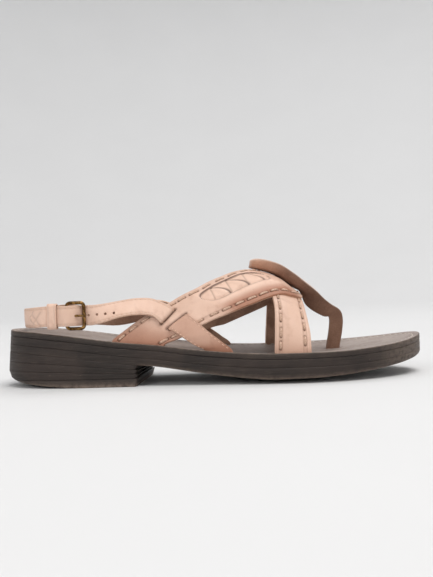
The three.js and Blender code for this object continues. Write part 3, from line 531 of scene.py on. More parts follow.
class Finish:
    """A procedural material, built node by node."""

    def __init__(self, name):
        self.material = bpy.data.materials.new(name)
        self.material.use_nodes = True
        self.tree = self.material.node_tree
        self.shader = self.tree.nodes["Principled BSDF"]
        place = self.node("ShaderNodeTexCoord").outputs["Object"]
        self.place = self.scaled(place, (1000, 1000, 1000))

    def node(self, kind, **settings):
        node = self.tree.nodes.new(kind)
        for key, value in settings.items():
            setattr(node, key, value)
        return node

    def feed(self, socket, value):
        if isinstance(value, bpy.types.NodeSocket):
            self.tree.links.new(value, socket)
        else:
            socket.default_value = value

    def set(self, name, value):
        self.feed(self.shader.inputs[name], value)

    def scaled(self, vector, scale):
        node = self.node("ShaderNodeMapping")
        self.feed(node.inputs["Vector"], vector)
        node.inputs["Scale"].default_value = scale
        return node.outputs["Vector"]

    def run(self, scale):
        """Coordinates along, across and over the piece, in millimetres times a scale."""
        node = self.node("ShaderNodeAttribute", attribute_name="run")
        return self.scaled(node.outputs["Vector"], scale)

    def share(self, name):
        return self.node("ShaderNodeAttribute", attribute_name=name).outputs["Fac"]

    def noise(self, scale, detail=3.0, roughness=0.55, vector=None):
        node = self.node("ShaderNodeTexNoise")
        self.feed(node.inputs["Vector"], vector or self.place)
        node.inputs["Scale"].default_value = scale
        node.inputs["Detail"].default_value = detail
        node.inputs["Roughness"].default_value = roughness
        return node.outputs["Fac"]

    def cells(self, scale):
        node = self.node("ShaderNodeTexVoronoi", feature="F1")
        self.feed(node.inputs["Vector"], self.place)
        node.inputs["Scale"].default_value = scale
        return node.outputs["Distance"]

    def span(self, value, low, high, to_low=0.0, to_high=1.0):
        node = self.node("ShaderNodeMapRange", interpolation_type="SMOOTHSTEP")
        self.feed(node.inputs["Value"], value)
        for key, number in (("From Min", low), ("From Max", high), ("To Min", to_low), ("To Max", to_high)):
            node.inputs[key].default_value = number
        return node.outputs["Result"]

    def sum(self, operation, first, second):
        node = self.node("ShaderNodeMath", operation=operation)
        self.feed(node.inputs[0], first)
        self.feed(node.inputs[1], second)
        return node.outputs["Value"]

    def blend(self, share, first, second, kind="MIX"):
        node = self.node("ShaderNodeMix", data_type="RGBA", blend_type=kind)
        for socket, value in zip(MIX_INPUTS, (share, first, second)):
            self.feed(node.inputs[socket], value)
        return node.outputs[MIX_OUTPUT]

    def bump(self, height, depth, normal=None):
        """Relief of a height from 0 to 1, with its depth in millimetres."""
        node = self.node("ShaderNodeBump")
        node.inputs["Strength"].default_value = 1.0
        node.inputs["Distance"].default_value = depth / 1000
        self.feed(node.inputs["Height"], height)
        if normal is not None:
            self.feed(node.inputs["Normal"], normal)
        return node.outputs["Normal"]


def strap_finish(name, grain, flesh, edge, painted_shade_colours, roughness=0.5):
    """Smooth tanned leather: grain on the outer face, raw flesh behind, a cut edge between them, and painted
    shade.
    """
    f = Finish(name)
    light, dark, warm = grain
    tone = f.blend(f.span(f.noise(0.035, 3), 0.36, 0.66), light, dark)
    clouds = f.noise(0.16, 4, vector=f.scaled(f.place, (1, 1.3, 0.8)))
    tone = f.blend(f.span(clouds, 0.5, 0.78, 0, 0.55), tone, warm)
    pores = f.cells(1.5)
    tone = f.blend(f.span(f.noise(1.4, 3, 0.7), 0.52, 0.8, 0, 0.3), tone, warm)
    fibres = f.noise(1.1, 5, 0.75, vector=f.scaled(f.place, (1.0, 1.0, 1.6)))
    raw = f.blend(f.span(fibres, 0.35, 0.65), flesh[0], flesh[1])
    raw = f.blend(f.span(f.noise(0.12, 2), 0.4, 0.7, 0, 0.6), raw, flesh[2])
    behind = f.share("flesh")
    colour = f.blend(f.span(behind, 0.35, 0.65), tone, raw)
    cut = f.blend(f.span(f.noise(2.0, 3), 0.4, 0.65), edge[0], edge[1])
    colour = f.blend(f.share("edge"), colour, cut)
    # Painted shade: places marked as shaded are multiplied by a dull tint, and shadowed slits, holes, window
    # rims and dark lines are drawn towards dark brown.
    colour = f.blend(f.share("shade"), colour, painted_shade_colours[1], "MULTIPLY")
    colour = f.blend(f.share("painted_shade_and_dark_lines"), colour, painted_shade_colours[0])
    f.set("Base Color", colour)
    rough = f.span(f.noise(0.3, 3), 0.3, 0.7, roughness - 0.07, roughness + 0.08)
    f.set("Roughness", f.sum("ADD", rough, f.sum("MULTIPLY", behind, 0.35)))
    f.set("Specular IOR Level", 0.35)
    nap = f.bump(f.sum("MULTIPLY", fibres, behind), 0.35)
    creases = f.bump(f.noise(0.5, 4, 0.6), 0.12, nap)
    f.set("Normal", f.bump(f.span(pores, 0.05, 0.45), 0.035, creases))
    return f.material


def sole_finish(name, light, dark, worn):
    """Dyed edge of stacked sole leather, with faint fine lines along it, scuffs, worn rims and a painted
    highlight towards the toe.
    """
    f = Finish(name)
    lines = f.noise(1.0, 4, 0.6, vector=f.run((0.02, 1.5, 1)))
    fine = f.noise(1.0, 3, 0.6, vector=f.run((0.07, 4.5, 1)))
    colour = f.blend(f.span(f.noise(0.045, 4, 0.6), 0.36, 0.66), dark, light)
    colour = f.blend(f.span(lines, 0.4, 0.62, 0, 0.42), colour, light)
    colour = f.blend(f.span(fine, 0.56, 0.76, 0, 0.3), colour, worn)
    scuffs = f.noise(1.0, 4, 0.7, vector=f.run((0.25, 0.8, 1)))
    colour = f.blend(f.span(scuffs, 0.64, 0.74, 0, 0.35), colour, worn)
    # Worn rims, and the painted highlight towards the toe, blend towards the pale colour.
    rim = f.sum("MULTIPLY", f.share("worn"), f.span(f.noise(0.4, 4, 0.7), 0.3, 0.62, 0.3, 1.0))
    f.set("Base Color", f.blend(rim, colour, worn))
    f.set("Roughness", f.span(lines, 0.3, 0.7, 0.68, 0.5))
    f.set("Specular IOR Level", 0.4)
    relief = f.bump(lines, 0.07)
    relief = f.bump(fine, 0.05, relief)
    f.set("Normal", f.bump(scuffs, 0.06, relief))
    return f.material


def footbed_finish(name, light, dark, stain):
    """Worn sock leather, greyed by dust, with fine grain and darker places where the foot bears."""
    f = Finish(name)
    tone = f.blend(f.span(f.noise(0.05, 4, 0.6), 0.36, 0.66), light, dark)
    tone = f.blend(f.span(f.noise(0.5, 4, 0.7), 0.5, 0.75, 0, 0.35), tone, dark)
    bearing = f.sum("MULTIPLY", f.share("press"), f.span(f.noise(0.12, 3), 0.3, 0.7, 0.4, 1.0))
    tone = f.blend(bearing, tone, stain)
    # Painted shade in the slots where straps run down into the footbed.
    tone = f.blend(f.share("painted_shade_and_dark_lines"), tone, linear(88, 72, 64))
    f.set("Base Color", tone)
    f.set("Roughness", f.span(f.noise(0.4, 3), 0.3, 0.7, 0.55, 0.72))
    f.set("Specular IOR Level", 0.35)
    relief = f.bump(f.noise(0.35, 4, 0.6), 0.2)
    f.set("Normal", f.bump(f.span(f.cells(1.1), 0.05, 0.5), 0.06, relief))
    return f.material


def tread_finish(name, light, dark):
    """Underside of the sole: dull dark leather, scratched lengthwise."""
    f = Finish(name)
    scratches = f.noise(1.0, 5, 0.75, vector=f.scaled(f.place, (0.12, 0.9, 0.4)))
    colour = f.blend(f.span(f.noise(0.07, 4), 0.4, 0.65), dark, light)
    colour = f.blend(f.span(scratches, 0.58, 0.7, 0, 0.5), colour, light)
    f.set("Base Color", colour)
    f.set("Roughness", f.span(scratches, 0.3, 0.7, 0.7, 0.85))
    f.set("Normal", f.bump(scratches, 0.2))
    return f.material


def brass_finish(name):
    """Old brass: tarnished brown and rubbed bright in patches."""
    f = Finish(name)
    age = f.noise(0.6, 4, 0.65)
    tarnish = f.blend(f.span(age, 0.38, 0.62), linear(150, 116, 72), linear(78, 57, 37))
    f.set("Base Color", tarnish)
    f.set("Metallic", 1.0)
    f.set("Roughness", f.span(age, 0.35, 0.65, 0.28, 0.46))
    f.set("Normal", f.bump(f.noise(1.6, 3), 0.03))
    return f.material


def thread_finish(name, light, dark):
    """Waxed thread, twisted along its length."""
    f = Finish(name)
    twist = f.noise(1.0, 2, vector=f.run((1.6, 0.5, 1)))
    f.set("Base Color", f.blend(f.span(twist, 0.4, 0.6), light, dark))
    f.set("Roughness", 0.6)
    f.set("Normal", f.bump(twist, 0.08))
    return f.material


GRAIN = (linear(224, 190, 170), linear(214, 178, 157), linear(190, 150, 130))
FLESH = (linear(170, 136, 116), linear(146, 114, 96), linear(120, 92, 76))
CUT = (linear(226, 192, 168), linear(186, 146, 122))
# Painted shade colours: a dark brown for shadowed slits, holes and dark lines, and a tint that multiplies
# shaded places.
PAINTED_SHADE_COLOURS = (linear(70, 42, 28), linear(192, 160, 144))
strap_leather = strap_finish("strap_leather", GRAIN, FLESH, CUT, PAINTED_SHADE_COLOURS)
thong_leather = strap_finish(
    "thong_leather", (linear(196, 158, 136), linear(178, 140, 118), linear(150, 114, 96)),
    (linear(204, 160, 136), linear(184, 142, 118), linear(160, 120, 100)),
    (linear(232, 208, 194), linear(200, 170, 152)), (PAINTED_SHADE_COLOURS[0], linear(172, 168, 166)), 0.58,
)
sole_edge = sole_finish("sole_edge", linear(52, 42, 37), linear(37, 30, 26), linear(134, 118, 106))
footbed_leather = footbed_finish(
    "footbed_leather", linear(160, 147, 140), linear(141, 128, 121), linear(120, 106, 98))
sole_tread = tread_finish("sole_tread", linear(104, 88, 76), linear(62, 52, 46))
old_brass = brass_finish("old_brass")
strap_thread = thread_finish("strap_thread", linear(214, 182, 160), linear(172, 138, 116))
sling_thread = thread_finish("sling_thread", linear(226, 190, 164), linear(194, 154, 128))
border_thread = thread_finish("border_thread", linear(206, 196, 186), linear(160, 148, 138))


# Straps


def strap_piece(name, material, middle, distance, width, thickness, relief=0, painted_shade_and_dark_lines=0, shade=0,
                reach=0.8, under_shade=0, rim=0.42, end_rim=0.01):
    """Closed strap round fine middle points, with relief added to its outer face.

    Reach is the radius of its edges. Rim and end_rim are the widths of the pale cut edge.
    """
    rows, columns, _ = middle.shape
    normal = grid_normals(middle)
    near = np.minimum(distance, width[:, None] - distance)
    body = edge_round(near, reach)
    body[0] = body[-1] = 0
    inside = body > 0
    half = body * thickness / 2
    zero = np.zeros((rows, columns))
    relief = (zero + relief) * inside
    top = middle + normal * (half + relief)[..., None]
    bottom = middle - normal * half[..., None]
    points, up, down, inner = shell(top, bottom)
    travel = arc_lengths(middle[:, columns // 2])[:, None] + zero

    def both(upper, lower):
        return np.concatenate([(zero + upper).ravel(), (zero + lower)[inner]])

    edge = np.clip(1 - np.minimum(near / rim, travel / end_rim), 0, 1)
    attributes = {
        "flesh": both(np.where(inside, 0.0, 0.5), 1.0),
        "edge": both(edge, edge),
        "painted_shade_and_dark_lines": both(np.clip(zero + painted_shade_and_dark_lines, 0, 1), 0),
        "shade": both(np.clip(zero + shade, 0, 1), under_shade),
        "run": np.stack([both(travel, travel), both(distance, distance), both(0, 1)], -1),
    }
    return make_object(name, points, np.concatenate([up, down]).tolist(), [material],
                       attributes=attributes)


def cut_out(piece, *cutters):
    """Takes the cutters' volume out of a piece and deletes them."""
    for cutter in cutters:
        change = piece.modifiers.new("cut", "BOOLEAN")
        change.operation = "DIFFERENCE"
        change.solver = "MANIFOLD"
        change.object = cutter
    bpy.context.view_layer.update()
    evaluated = piece.evaluated_get(bpy.context.evaluated_depsgraph_get())
    mesh = bpy.data.meshes.new_from_object(evaluated)
    piece.modifiers.clear()
    piece.data = mesh
    for cutter in cutters:
        bpy.data.objects.remove(cutter)


def cutter_sheet(name, grid, thickness, grow):
    """Plain closed sheet round a grid of middle points, grown on every side."""
    wide = grid.copy()
    across = unit(grid[:, -1] - grid[:, 0])
    wide[:, 0] -= across * grow
    wide[:, -1] += across * grow
    normal = grid_normals(wide)
    half = thickness / 2 + grow
    top = wide + normal * half
    bottom = wide - normal * half
    rows, columns, _ = grid.shape
    count = rows * columns
    points = np.concatenate([top.reshape(-1, 3), bottom.reshape(-1, 3)])
    ring = ring_numbers(rows, columns)
    after = np.roll(ring, -1)
    sides = np.stack([ring, count + ring, count + after, after], -1)
    faces = [*grid_faces(rows, columns), *grid_faces(rows, columns, count, True), *sides]
    return fix_normals(plain_object(name, points, faces))


# Stitches: each is (points on the surface, outward directions)

STITCH_ROUND_STEP = 0.6


def stitch_piece(name, material, stitches, radius, height, sides=6):
    """All stitches of one seam: threads that rise out of the leather and dive back into it."""
    points, faces, run = [], [], []
    for path, outward in stitches:
        path, outward = np.asarray(path), unit(np.asarray(outward))
        steps = len(path)
        t = np.linspace(0, 1, steps)
        arch = height * np.sin(np.pi * t) ** 0.6 - 0.55 * radius * (np.abs(2 * t - 1) ** 4)
        line = path + outward * arch[:, None]
        travel = unit(np.gradient(line, axis=0))
        side = unit(np.cross(travel, outward))
        up = np.cross(side, travel)
        size = radius * (1 - 0.35 * np.abs(2 * t - 1) ** 3)
        thread_points, thread_faces = tube(line, side, up, size, sides, 0.8)
        faces += [[len(points) + number for number in face] for face in thread_faces]
        points += thread_points
        run += [(k * STITCH_ROUND_STEP, m, 0) for k in range(steps) for m in range(sides)]
    return make_object(name, points, faces, [material], attributes={"run": np.array(run)})


def stitch_places(pitch, part, start, end, jitter):
    """Starts and ends of stitches along a line, each a little uneven, as by hand."""
    places = []
    at = start
    while at + pitch * part < end:
        size = pitch * part * (1 + jitter * random.uniform(-1, 1))
        places.append((at, at + size))
        at += pitch * (1 + jitter * random.uniform(-1, 1))
    return places


DENSE_COUNT = 1500
BAND_STITCH_INSET = 3.6
BAND_STITCH_PITCH = 8.6
BAND_STITCH_PART = 0.58
CHANNEL_HALF = 1.05
CHANNEL_DEPTH = 0.34
EDGE_LINE_INSET = 0.95
EDGE_LINE_DEPTH = 0.12
HOLE_REACH = 0.75
HOLE_DEPTH = 0.8
SLIT_REACH = 1.1
SLIT_DEPTH = 0.5


def band_width(hand, upper, counts):
    front = band_point(hand, upper, counts, -1.0 + 0 * counts, BAND_THICKNESS / 2)
    rear = band_point(hand, upper, counts, 1.0 + 0 * counts, BAND_THICKNESS / 2)
    return np.linalg.norm(front - rear, axis=-1)


def band_stitches(hand, upper):
    """Running stitches along both edges of a band, and the places of their holes."""
    dense = np.linspace(0.6, len(BAND_RIBS) - 1.6, DENSE_COUNT)
    width = band_width(hand, upper, dense)
    stitches, holes = [], []
    for edge in (-1, 1):
        across = edge * (1 - 2 * BAND_STITCH_INSET / width)
        line = band_point(hand, upper, dense, across, BAND_THICKNESS)
        base = band_point(hand, upper, dense, across, 0)
        lengths = arc_lengths(line)
        for start, end in stitch_places(BAND_STITCH_PITCH, BAND_STITCH_PART, 3.0, lengths[-1] - 2.0, 0.12):
            at = np.linspace(start, end, 9)
            path = sampled(at, lengths, line)
            stitches.append((path, path - sampled(at, lengths, base)))
            holes += [path[0], path[-1]]
    return stitches, np.array(holes)


# rib where the arc starts at the rear edge, rib where it ends at the front edge, strength
WINDOW_ARCS = [(6.42, 6.86, 1.0), (7.8, 8.3, 1.0), (9.1, 9.5, 0.9)]
# Both in ribs: how far an arc bows out, and how far its fold runs from the arc's start
ARC_BULGE = 0.32
FOLD_SLANT = -0.85
RIB_SIZE = 5.2
PAD_RISE = 0.5


def window_relief(counts, across, half_band):
    """Depth below the band's face at places of a band, and the window's painted shadow under its rim and
    along the edges and folds of its pieces.
    """
    ribs = WINDOW_RIBS[:, 0]
    middle = -curve(ribs, WINDOW_RIBS[:, 1], counts)
    half = curve(ribs, WINDOW_RIBS[:, 2], counts)
    inside = (half - np.abs(across - middle)) * half_band
    inside = np.where((counts < ribs[0]) | (counts > ribs[-1]), -1.0, inside)
    q = np.clip((across - middle) / np.maximum(half, 0.02), -1.2, 1.2)
    v = np.clip((1 - q) / 2, 0, 1)
    line = np.zeros_like(q)
    pad = np.zeros_like(q)
    for start, end, strength in WINDOW_ARCS:
        arc = start + (end - start) * v + ARC_BULGE * np.sin(np.pi * v)
        away = (counts - arc) * RIB_SIZE
        fold_away = (counts - start - FOLD_SLANT * v) * RIB_SIZE
        line = np.maximum(line, strength * bump_at(away, 0, 0.55))
        line = np.maximum(line, 0.45 * strength * bump_at(fold_away, 0, 0.3))
        pad = np.maximum(pad, PAD_RISE * strength * bump_at(away, -1.5, 1.3))
    wall = smooth(0, 0.55, inside)
    floor = WINDOW_DEPTH - PAD_RISE * smooth(0.4, 2.4, inside) - pad * smooth(0.2, 1.2, inside)
    # Painted shadow under the window's rim, deepest along its rear edge, and along the pieces' edges and
    # folds.
    lip = bump_at(inside, -0.05, 0.6) * mix(0.5, 1.0, smooth(-0.6, 0.7, q))
    painted_shade_and_dark_lines = np.clip(np.maximum(lip, 0.9 * line * wall), 0, 1)
    return wall * (floor + 0.35 * line), 0.95 * painted_shade_and_dark_lines


def segment_away(points, start, end):
    """Distance from points to a straight stretch."""
    along = end - start
    t = np.clip(((points - start) @ along) / (along @ along), 0, 1)
    return np.linalg.norm(points - start - t[..., None] * along, axis=-1)


SLIT_RIBS = (5.85, 7.5)


def slit_ends(hand):
    """Ends of the two slits through which a leg of the sling dives under the band's bridge."""
    slits = []
    for count in SLIT_RIBS:
        fore_along, fore_round, aft_along, aft_round = ribs_at(LEG_RIBS, count)[:4]
        slits.append((last_point(fore_along, hand * fore_round, BAND_THICKNESS),
                      last_point(aft_along, hand * aft_round, BAND_THICKNESS)))
    return slits


def make_band(name, hand, upper):
    """One instep band with its window, stitch channels, holes and edge crease."""
    dense = np.linspace(0, len(BAND_RIBS) - 1, DENSE_COUNT)
    line = band_point(hand, upper, dense, 0 * dense, BAND_THICKNESS / 2)
    counts = evened(dense, line, 0.5)
    width = band_width(hand, upper, counts)
    distance = strap_columns(width, 52)
    across = -1 + 2 * distance / width[:, None]
    grid_counts = counts[:, None] + 0 * across
    middle = band_point(hand, upper, grid_counts, across, BAND_THICKNESS / 2)
    outward = band_point(hand, upper, grid_counts, across, BAND_THICKNESS) - middle
    if np.sum(grid_normals(middle) * outward) < 0:
        middle, outward = middle[:, ::-1], outward[:, ::-1]
        distance, across = distance[:, ::-1], across[:, ::-1]
    near = np.minimum(distance, width[:, None] - distance)
    depth, painted_shade_and_dark_lines = window_relief(grid_counts, across, width[:, None] / 2)
    stitches, holes = band_stitches(hand, upper)
    face = middle + outward
    away = np.full(near.shape, 1e3)
    for hole in holes:
        away = np.minimum(away, np.linalg.norm(face - hole, axis=-1))
    channel = bump_at(near, BAND_STITCH_INSET, 1.0)
    brink = sum(bump_at(near, BAND_STITCH_INSET + half, 0.3) for half in (-CHANNEL_HALF, CHANNEL_HALF))
    crease = bump_at(near, EDGE_LINE_INSET, 0.2)
    pit = bump_at(away, 0, HOLE_REACH)
    relief = -depth - CHANNEL_DEPTH * channel - EDGE_LINE_DEPTH * crease - HOLE_DEPTH * pit
    # Painted shade in the window, the stitch holes and the slits; the stitch channels, their brinks and the
    # edge crease are darkened as lines.
    painted_shade_and_dark_lines = np.maximum.reduce([painted_shade_and_dark_lines, 0.95 * pit, 0.12 * channel + 0.26 * brink, 0.34 * crease])
    for start, end in slit_ends(hand):
        slit = bump_at(segment_away(face, start, end), 0, SLIT_REACH)
        painted_shade_and_dark_lines = np.maximum(painted_shade_and_dark_lines, 0.95 * slit)
        relief = relief - SLIT_DEPTH * slit
    # Painted shade where the band runs down into the footbed, and along its lower border, which turns down
    # away from the light; the border darkening is partly wear staining too.
    rear_foot = smooth(3.2, 0.9, grid_counts)
    fore_foot = smooth(len(BAND_RIBS) - 2.9, len(BAND_RIBS) - 2.0, grid_counts)
    foot = np.maximum(0.95 * rear_foot, 0.4 * fore_foot)
    border = smooth(-0.3, -0.7, across) * smooth(4.4, 6.2, grid_counts) * smooth(11.2, 10.0, grid_counts)
    piece = strap_piece(name, strap_leather, middle, distance, width, BAND_THICKNESS,
                        relief=relief, painted_shade_and_dark_lines=painted_shade_and_dark_lines, shade=np.maximum(foot, 0.95 * border))
    return piece, stitches


def leg_rows(hand, counts):
    rib = ribs_at(LEG_RIBS, counts)
    over = BAND_THICKNESS + WEAVE_GAP + SLING_THICKNESS / 2
    under = -WEAVE_GAP - SLING_THICKNESS / 2
    layer = rib[4]
    lift = mix(SLING_THICKNESS / 2, np.where(layer >= 0, over, under), np.abs(layer))
    rows = [last_point(mix(rib[0], rib[2], t), hand * mix(rib[1], rib[3], t), lift) for t in (0, 0.5, 1)]
    return np.stack(rows, 1)


def sling_row(x, y, z, lean, inward):
    up = np.array([0, inward * math.sin(math.radians(lean)), math.cos(math.radians(lean))])
    return np.array([np.array([x, y, z]) + up * side * SLING_WIDTH / 2 for side in (1, 0, -1)])


def sling_level(height):
    return HEEL_HEIGHT + height * SLING_WIDTH


def run_row(row, hand):
    along, side, height, drop, lean = row
    level = sling_level(height - drop if hand > 0 else height)
    return sling_row(along * SOLE_LENGTH, hand * side * BALL_WIDTH, level, lean, -hand)


BUCKLE_Y = -BUCKLE_SIDE * BALL_WIDTH
BUCKLE_Z = sling_level(BUCKLE_RISE)
FRAME_DEPTH = SLING_THICKNESS / 2
EYE_BORE = BUCKLE_WIRE + SEAT_GAP
EYE_RADIUS = EYE_BORE + SLING_THICKNESS
TAIL_DEPTH = SLING_THICKNESS + SEAT_GAP
OVER_EYE = FRAME_DEPTH + EYE_RADIUS + SEAT_GAP + SLING_THICKNESS / 2
UNDER_BAR = FRAME_DEPTH - BUCKLE_WIRE - SEAT_GAP - SLING_THICKNESS / 2
FRONT_BAR = BUCKLE_REAR_BAR + BUCKLE_LENGTH
KEEPER_END = KEEPER_POSITION - 0.7 * KEEPER_WIDTH
LEG_COUNTS = np.concatenate([[0], np.linspace(1, len(LEG_RIBS) - 1, 2 * (len(LEG_RIBS) - 2) + 1)])


def buckle_row(x, depth):
    return sling_row(x, BUCKLE_Y - depth, BUCKLE_Z, 0, 1)


def tail_row(place, width):
    straight = [[BUCKLE_REAR_BAR, BUCKLE_Y, 0], [KEEPER_END, BUCKLE_Y, 0]]
    bend = [[along * SOLE_LENGTH, -side * BALL_WIDTH, 0] for along, side, *_ in SLING_HEEL]
    controls = straight + bend
    at = place * (len(controls) - 1)
    spot = centripetal(controls, [at])[0]
    travel = unit(centripetal(controls, [at + 0.01])[0] - centripetal(controls, [at - 0.01])[0])
    outward = np.array([-travel[1], travel[0], 0])
    spot = spot + outward * (TAIL_DEPTH + TAIL_EASE)
    z = BUCKLE_Z - TAIL_SINK * (place - TAIL_ROWS[0][0])
    half = width * SLING_WIDTH / 2
    return np.array([[spot[0], spot[1], z + side * half] for side in (1, 0, -1)])


def lateral_controls():
    buckled = [
        buckle_row(FRONT_BAR + 4 * BUCKLE_WIRE, UNDER_BAR),
        buckle_row(FRONT_BAR + BUCKLE_WIRE, UNDER_BAR - BAR_EASE),
        buckle_row(FRONT_BAR - BUCKLE_WIRE, UNDER_BAR - BAR_EASE),
        buckle_row(BUCKLE_REAR_BAR + 0.5 * EYE_RADIUS, OVER_EYE - 0.1 * EYE_RADIUS),
        buckle_row(BUCKLE_REAR_BAR - 0.5 * EYE_RADIUS, OVER_EYE - 0.1 * EYE_RADIUS),
        buckle_row(KEEPER_POSITION + KEEPER_WIDTH / 2 + SEAT_GAP, TAIL_DEPTH),
    ]
    tail = [tail_row(place, width) for place, width in TAIL_ROWS]
    return [run_row(row, -1) for row in SLING_RUN] + buckled + tail


def medial_controls():
    side = [(FRONT_BAR / SOLE_LENGTH, BUCKLE_SIDE, BUCKLE_RISE, 0.2, 6),
            (KEEPER_END / SOLE_LENGTH, BUCKLE_SIDE, BUCKLE_RISE, 0, 0)]
    rows = [run_row(row, 1) for row in [*SLING_RUN, *side, *SLING_HEEL]]
    rows += [run_row(row, -1) for row in SLING_HEEL[-2::-1]]
    rows += [buckle_row(x, 0) for x in (KEEPER_END, KEEPER_POSITION, BUCKLE_REAR_BAR - 1.9 * EYE_BORE)]
    eye = EYE_BORE + SLING_THICKNESS / 2
    for turn in (-125, -80, -30, 20, 70, 115, 150):
        angle = math.radians(turn)
        rows.append(buckle_row(BUCKLE_REAR_BAR + eye * math.cos(angle), FRAME_DEPTH + eye * math.sin(angle)))
    return rows


def sling_grid(hand, controls):
    """Fine rows of three points along a sling strap, from the footbed to its free end."""
    leg = leg_rows(hand, np.linspace(0, len(LEG_RIBS) - 1, 12 * (len(LEG_RIBS) - 1) + 1))
    knots = np.concatenate([leg_rows(hand, LEG_COUNTS), np.array(controls)])
    first = len(LEG_COUNTS) - 1
    places = np.linspace(first, len(knots) - 1, 24 * (len(knots) - 1 - first) + 1)[1:]
    free = np.stack([centripetal(knots[:, k], places) for k in range(3)], 1)
    rows = np.concatenate([leg, free])
    return soften(evened(rows, rows[:, 1], 0.5), 2)


def across_points(rows, t):
    """Points across strap rows of three control points, t from -1 to 1, with a slight crown."""
    low, middle, high = rows[:, None, 0], rows[:, None, 1], rows[:, None, 2]
    t = t[..., None]
    flat = low * t * (t - 1) / 2 + middle * (1 - t * t) + high * t * (t + 1) / 2
    normal = unit(np.cross(np.gradient(rows[:, 1], axis=0), rows[:, 2] - rows[:, 0]))[:, None]
    return flat + normal * (SLING_CROWN * (1 - t * t))


SLING_STITCH_INSET = 1.35
SLING_STITCH_PITCH = 2.7
SLING_STITCH_PART = 0.66
SLING_CHANNEL_DEPTH = 0.16
SLING_CROWN = 0.25
LEG_LENGTH = 44.0
# Two folds that cross on the free end: (along, up) of their ends
TAIL_FOLDS = [((27.7, 45.8), (21.9, 38.2)), ((21.4, 45.1), (27.5, 37.4))]


def make_sling(name, hand, controls, skip):
    """Sling strap with its edge stitches. Skip lists stretches, in shares of its length, without stitches."""
    rows = sling_grid(hand, controls)
    if hand > 0:
        rows = rows[:, ::-1]
    width = np.linalg.norm(rows[:, 2] - rows[:, 0], axis=-1)
    distance = strap_columns(width, 20)
    t = -1 + 2 * distance / width[:, None]
    middle = across_points(rows, t)
    near = np.minimum(distance, width[:, None] - distance)
    channel = bump_at(near, SLING_STITCH_INSET, 0.35)
    relief = -SLING_CHANNEL_DEPTH * channel
    reached = arc_lengths(rows[:, 1])[:, None]
    # Painted shade on the leg, deepest where it leaves the footbed.
    shade = 0.55 * smooth(LEG_LENGTH, LEG_LENGTH - 12, reached) + 0.4 * smooth(16, 6, reached)
    line = bump_at(near, 0.5, 0.16)
    painted_shade_and_dark_lines = np.maximum(0.26 * channel, 0.3 * line)
    # Painted shadow in the slits and, on the lateral strap, in the folds of its free end.
    for start, end in slit_ends(hand):
        painted_shade_and_dark_lines = np.maximum(painted_shade_and_dark_lines, 0.95 * bump_at(segment_away(middle, start, end), 0, 0.95))
    if hand < 0:
        for low, high in TAIL_FOLDS:
            flat = segment_away(middle[..., [0, 2]], np.array(low), np.array(high))
            relief = relief - 0.5 * bump_at(flat, 0, 1.1)
            painted_shade_and_dark_lines = np.maximum(painted_shade_and_dark_lines, 0.2 * bump_at(flat, 0, 0.6))
    piece = strap_piece(name, strap_leather, middle, distance, width, SLING_THICKNESS,
                        relief=relief - 0.06 * line, painted_shade_and_dark_lines=painted_shade_and_dark_lines, shade=shade, reach=0.7)
    normal = grid_normals(middle)
    stitches = []
    travel = arc_lengths(rows[:, 1])
    inset = np.clip(2 * SLING_STITCH_INSET / width, 0, 1)
    for edge in (-1, 1):
        out = normal[:, -8 * edge]
        line = across_points(rows, edge * (1 - inset)[:, None])[:, 0]
        line = line + out * (SLING_THICKNESS / 2 - SLING_CHANNEL_DEPTH)
        for start, end in stitch_places(SLING_STITCH_PITCH, SLING_STITCH_PART, 6, travel[-1] - 4, 0.03):
            share = (start + end) / 2 / travel[-1]
            if any(low < share < high for low, high in skip):
                continue
            places = np.linspace(start, end, 5)
            stitches.append((sampled(places, travel, line), sampled(places, travel, out)))
    return piece, rows, stitches


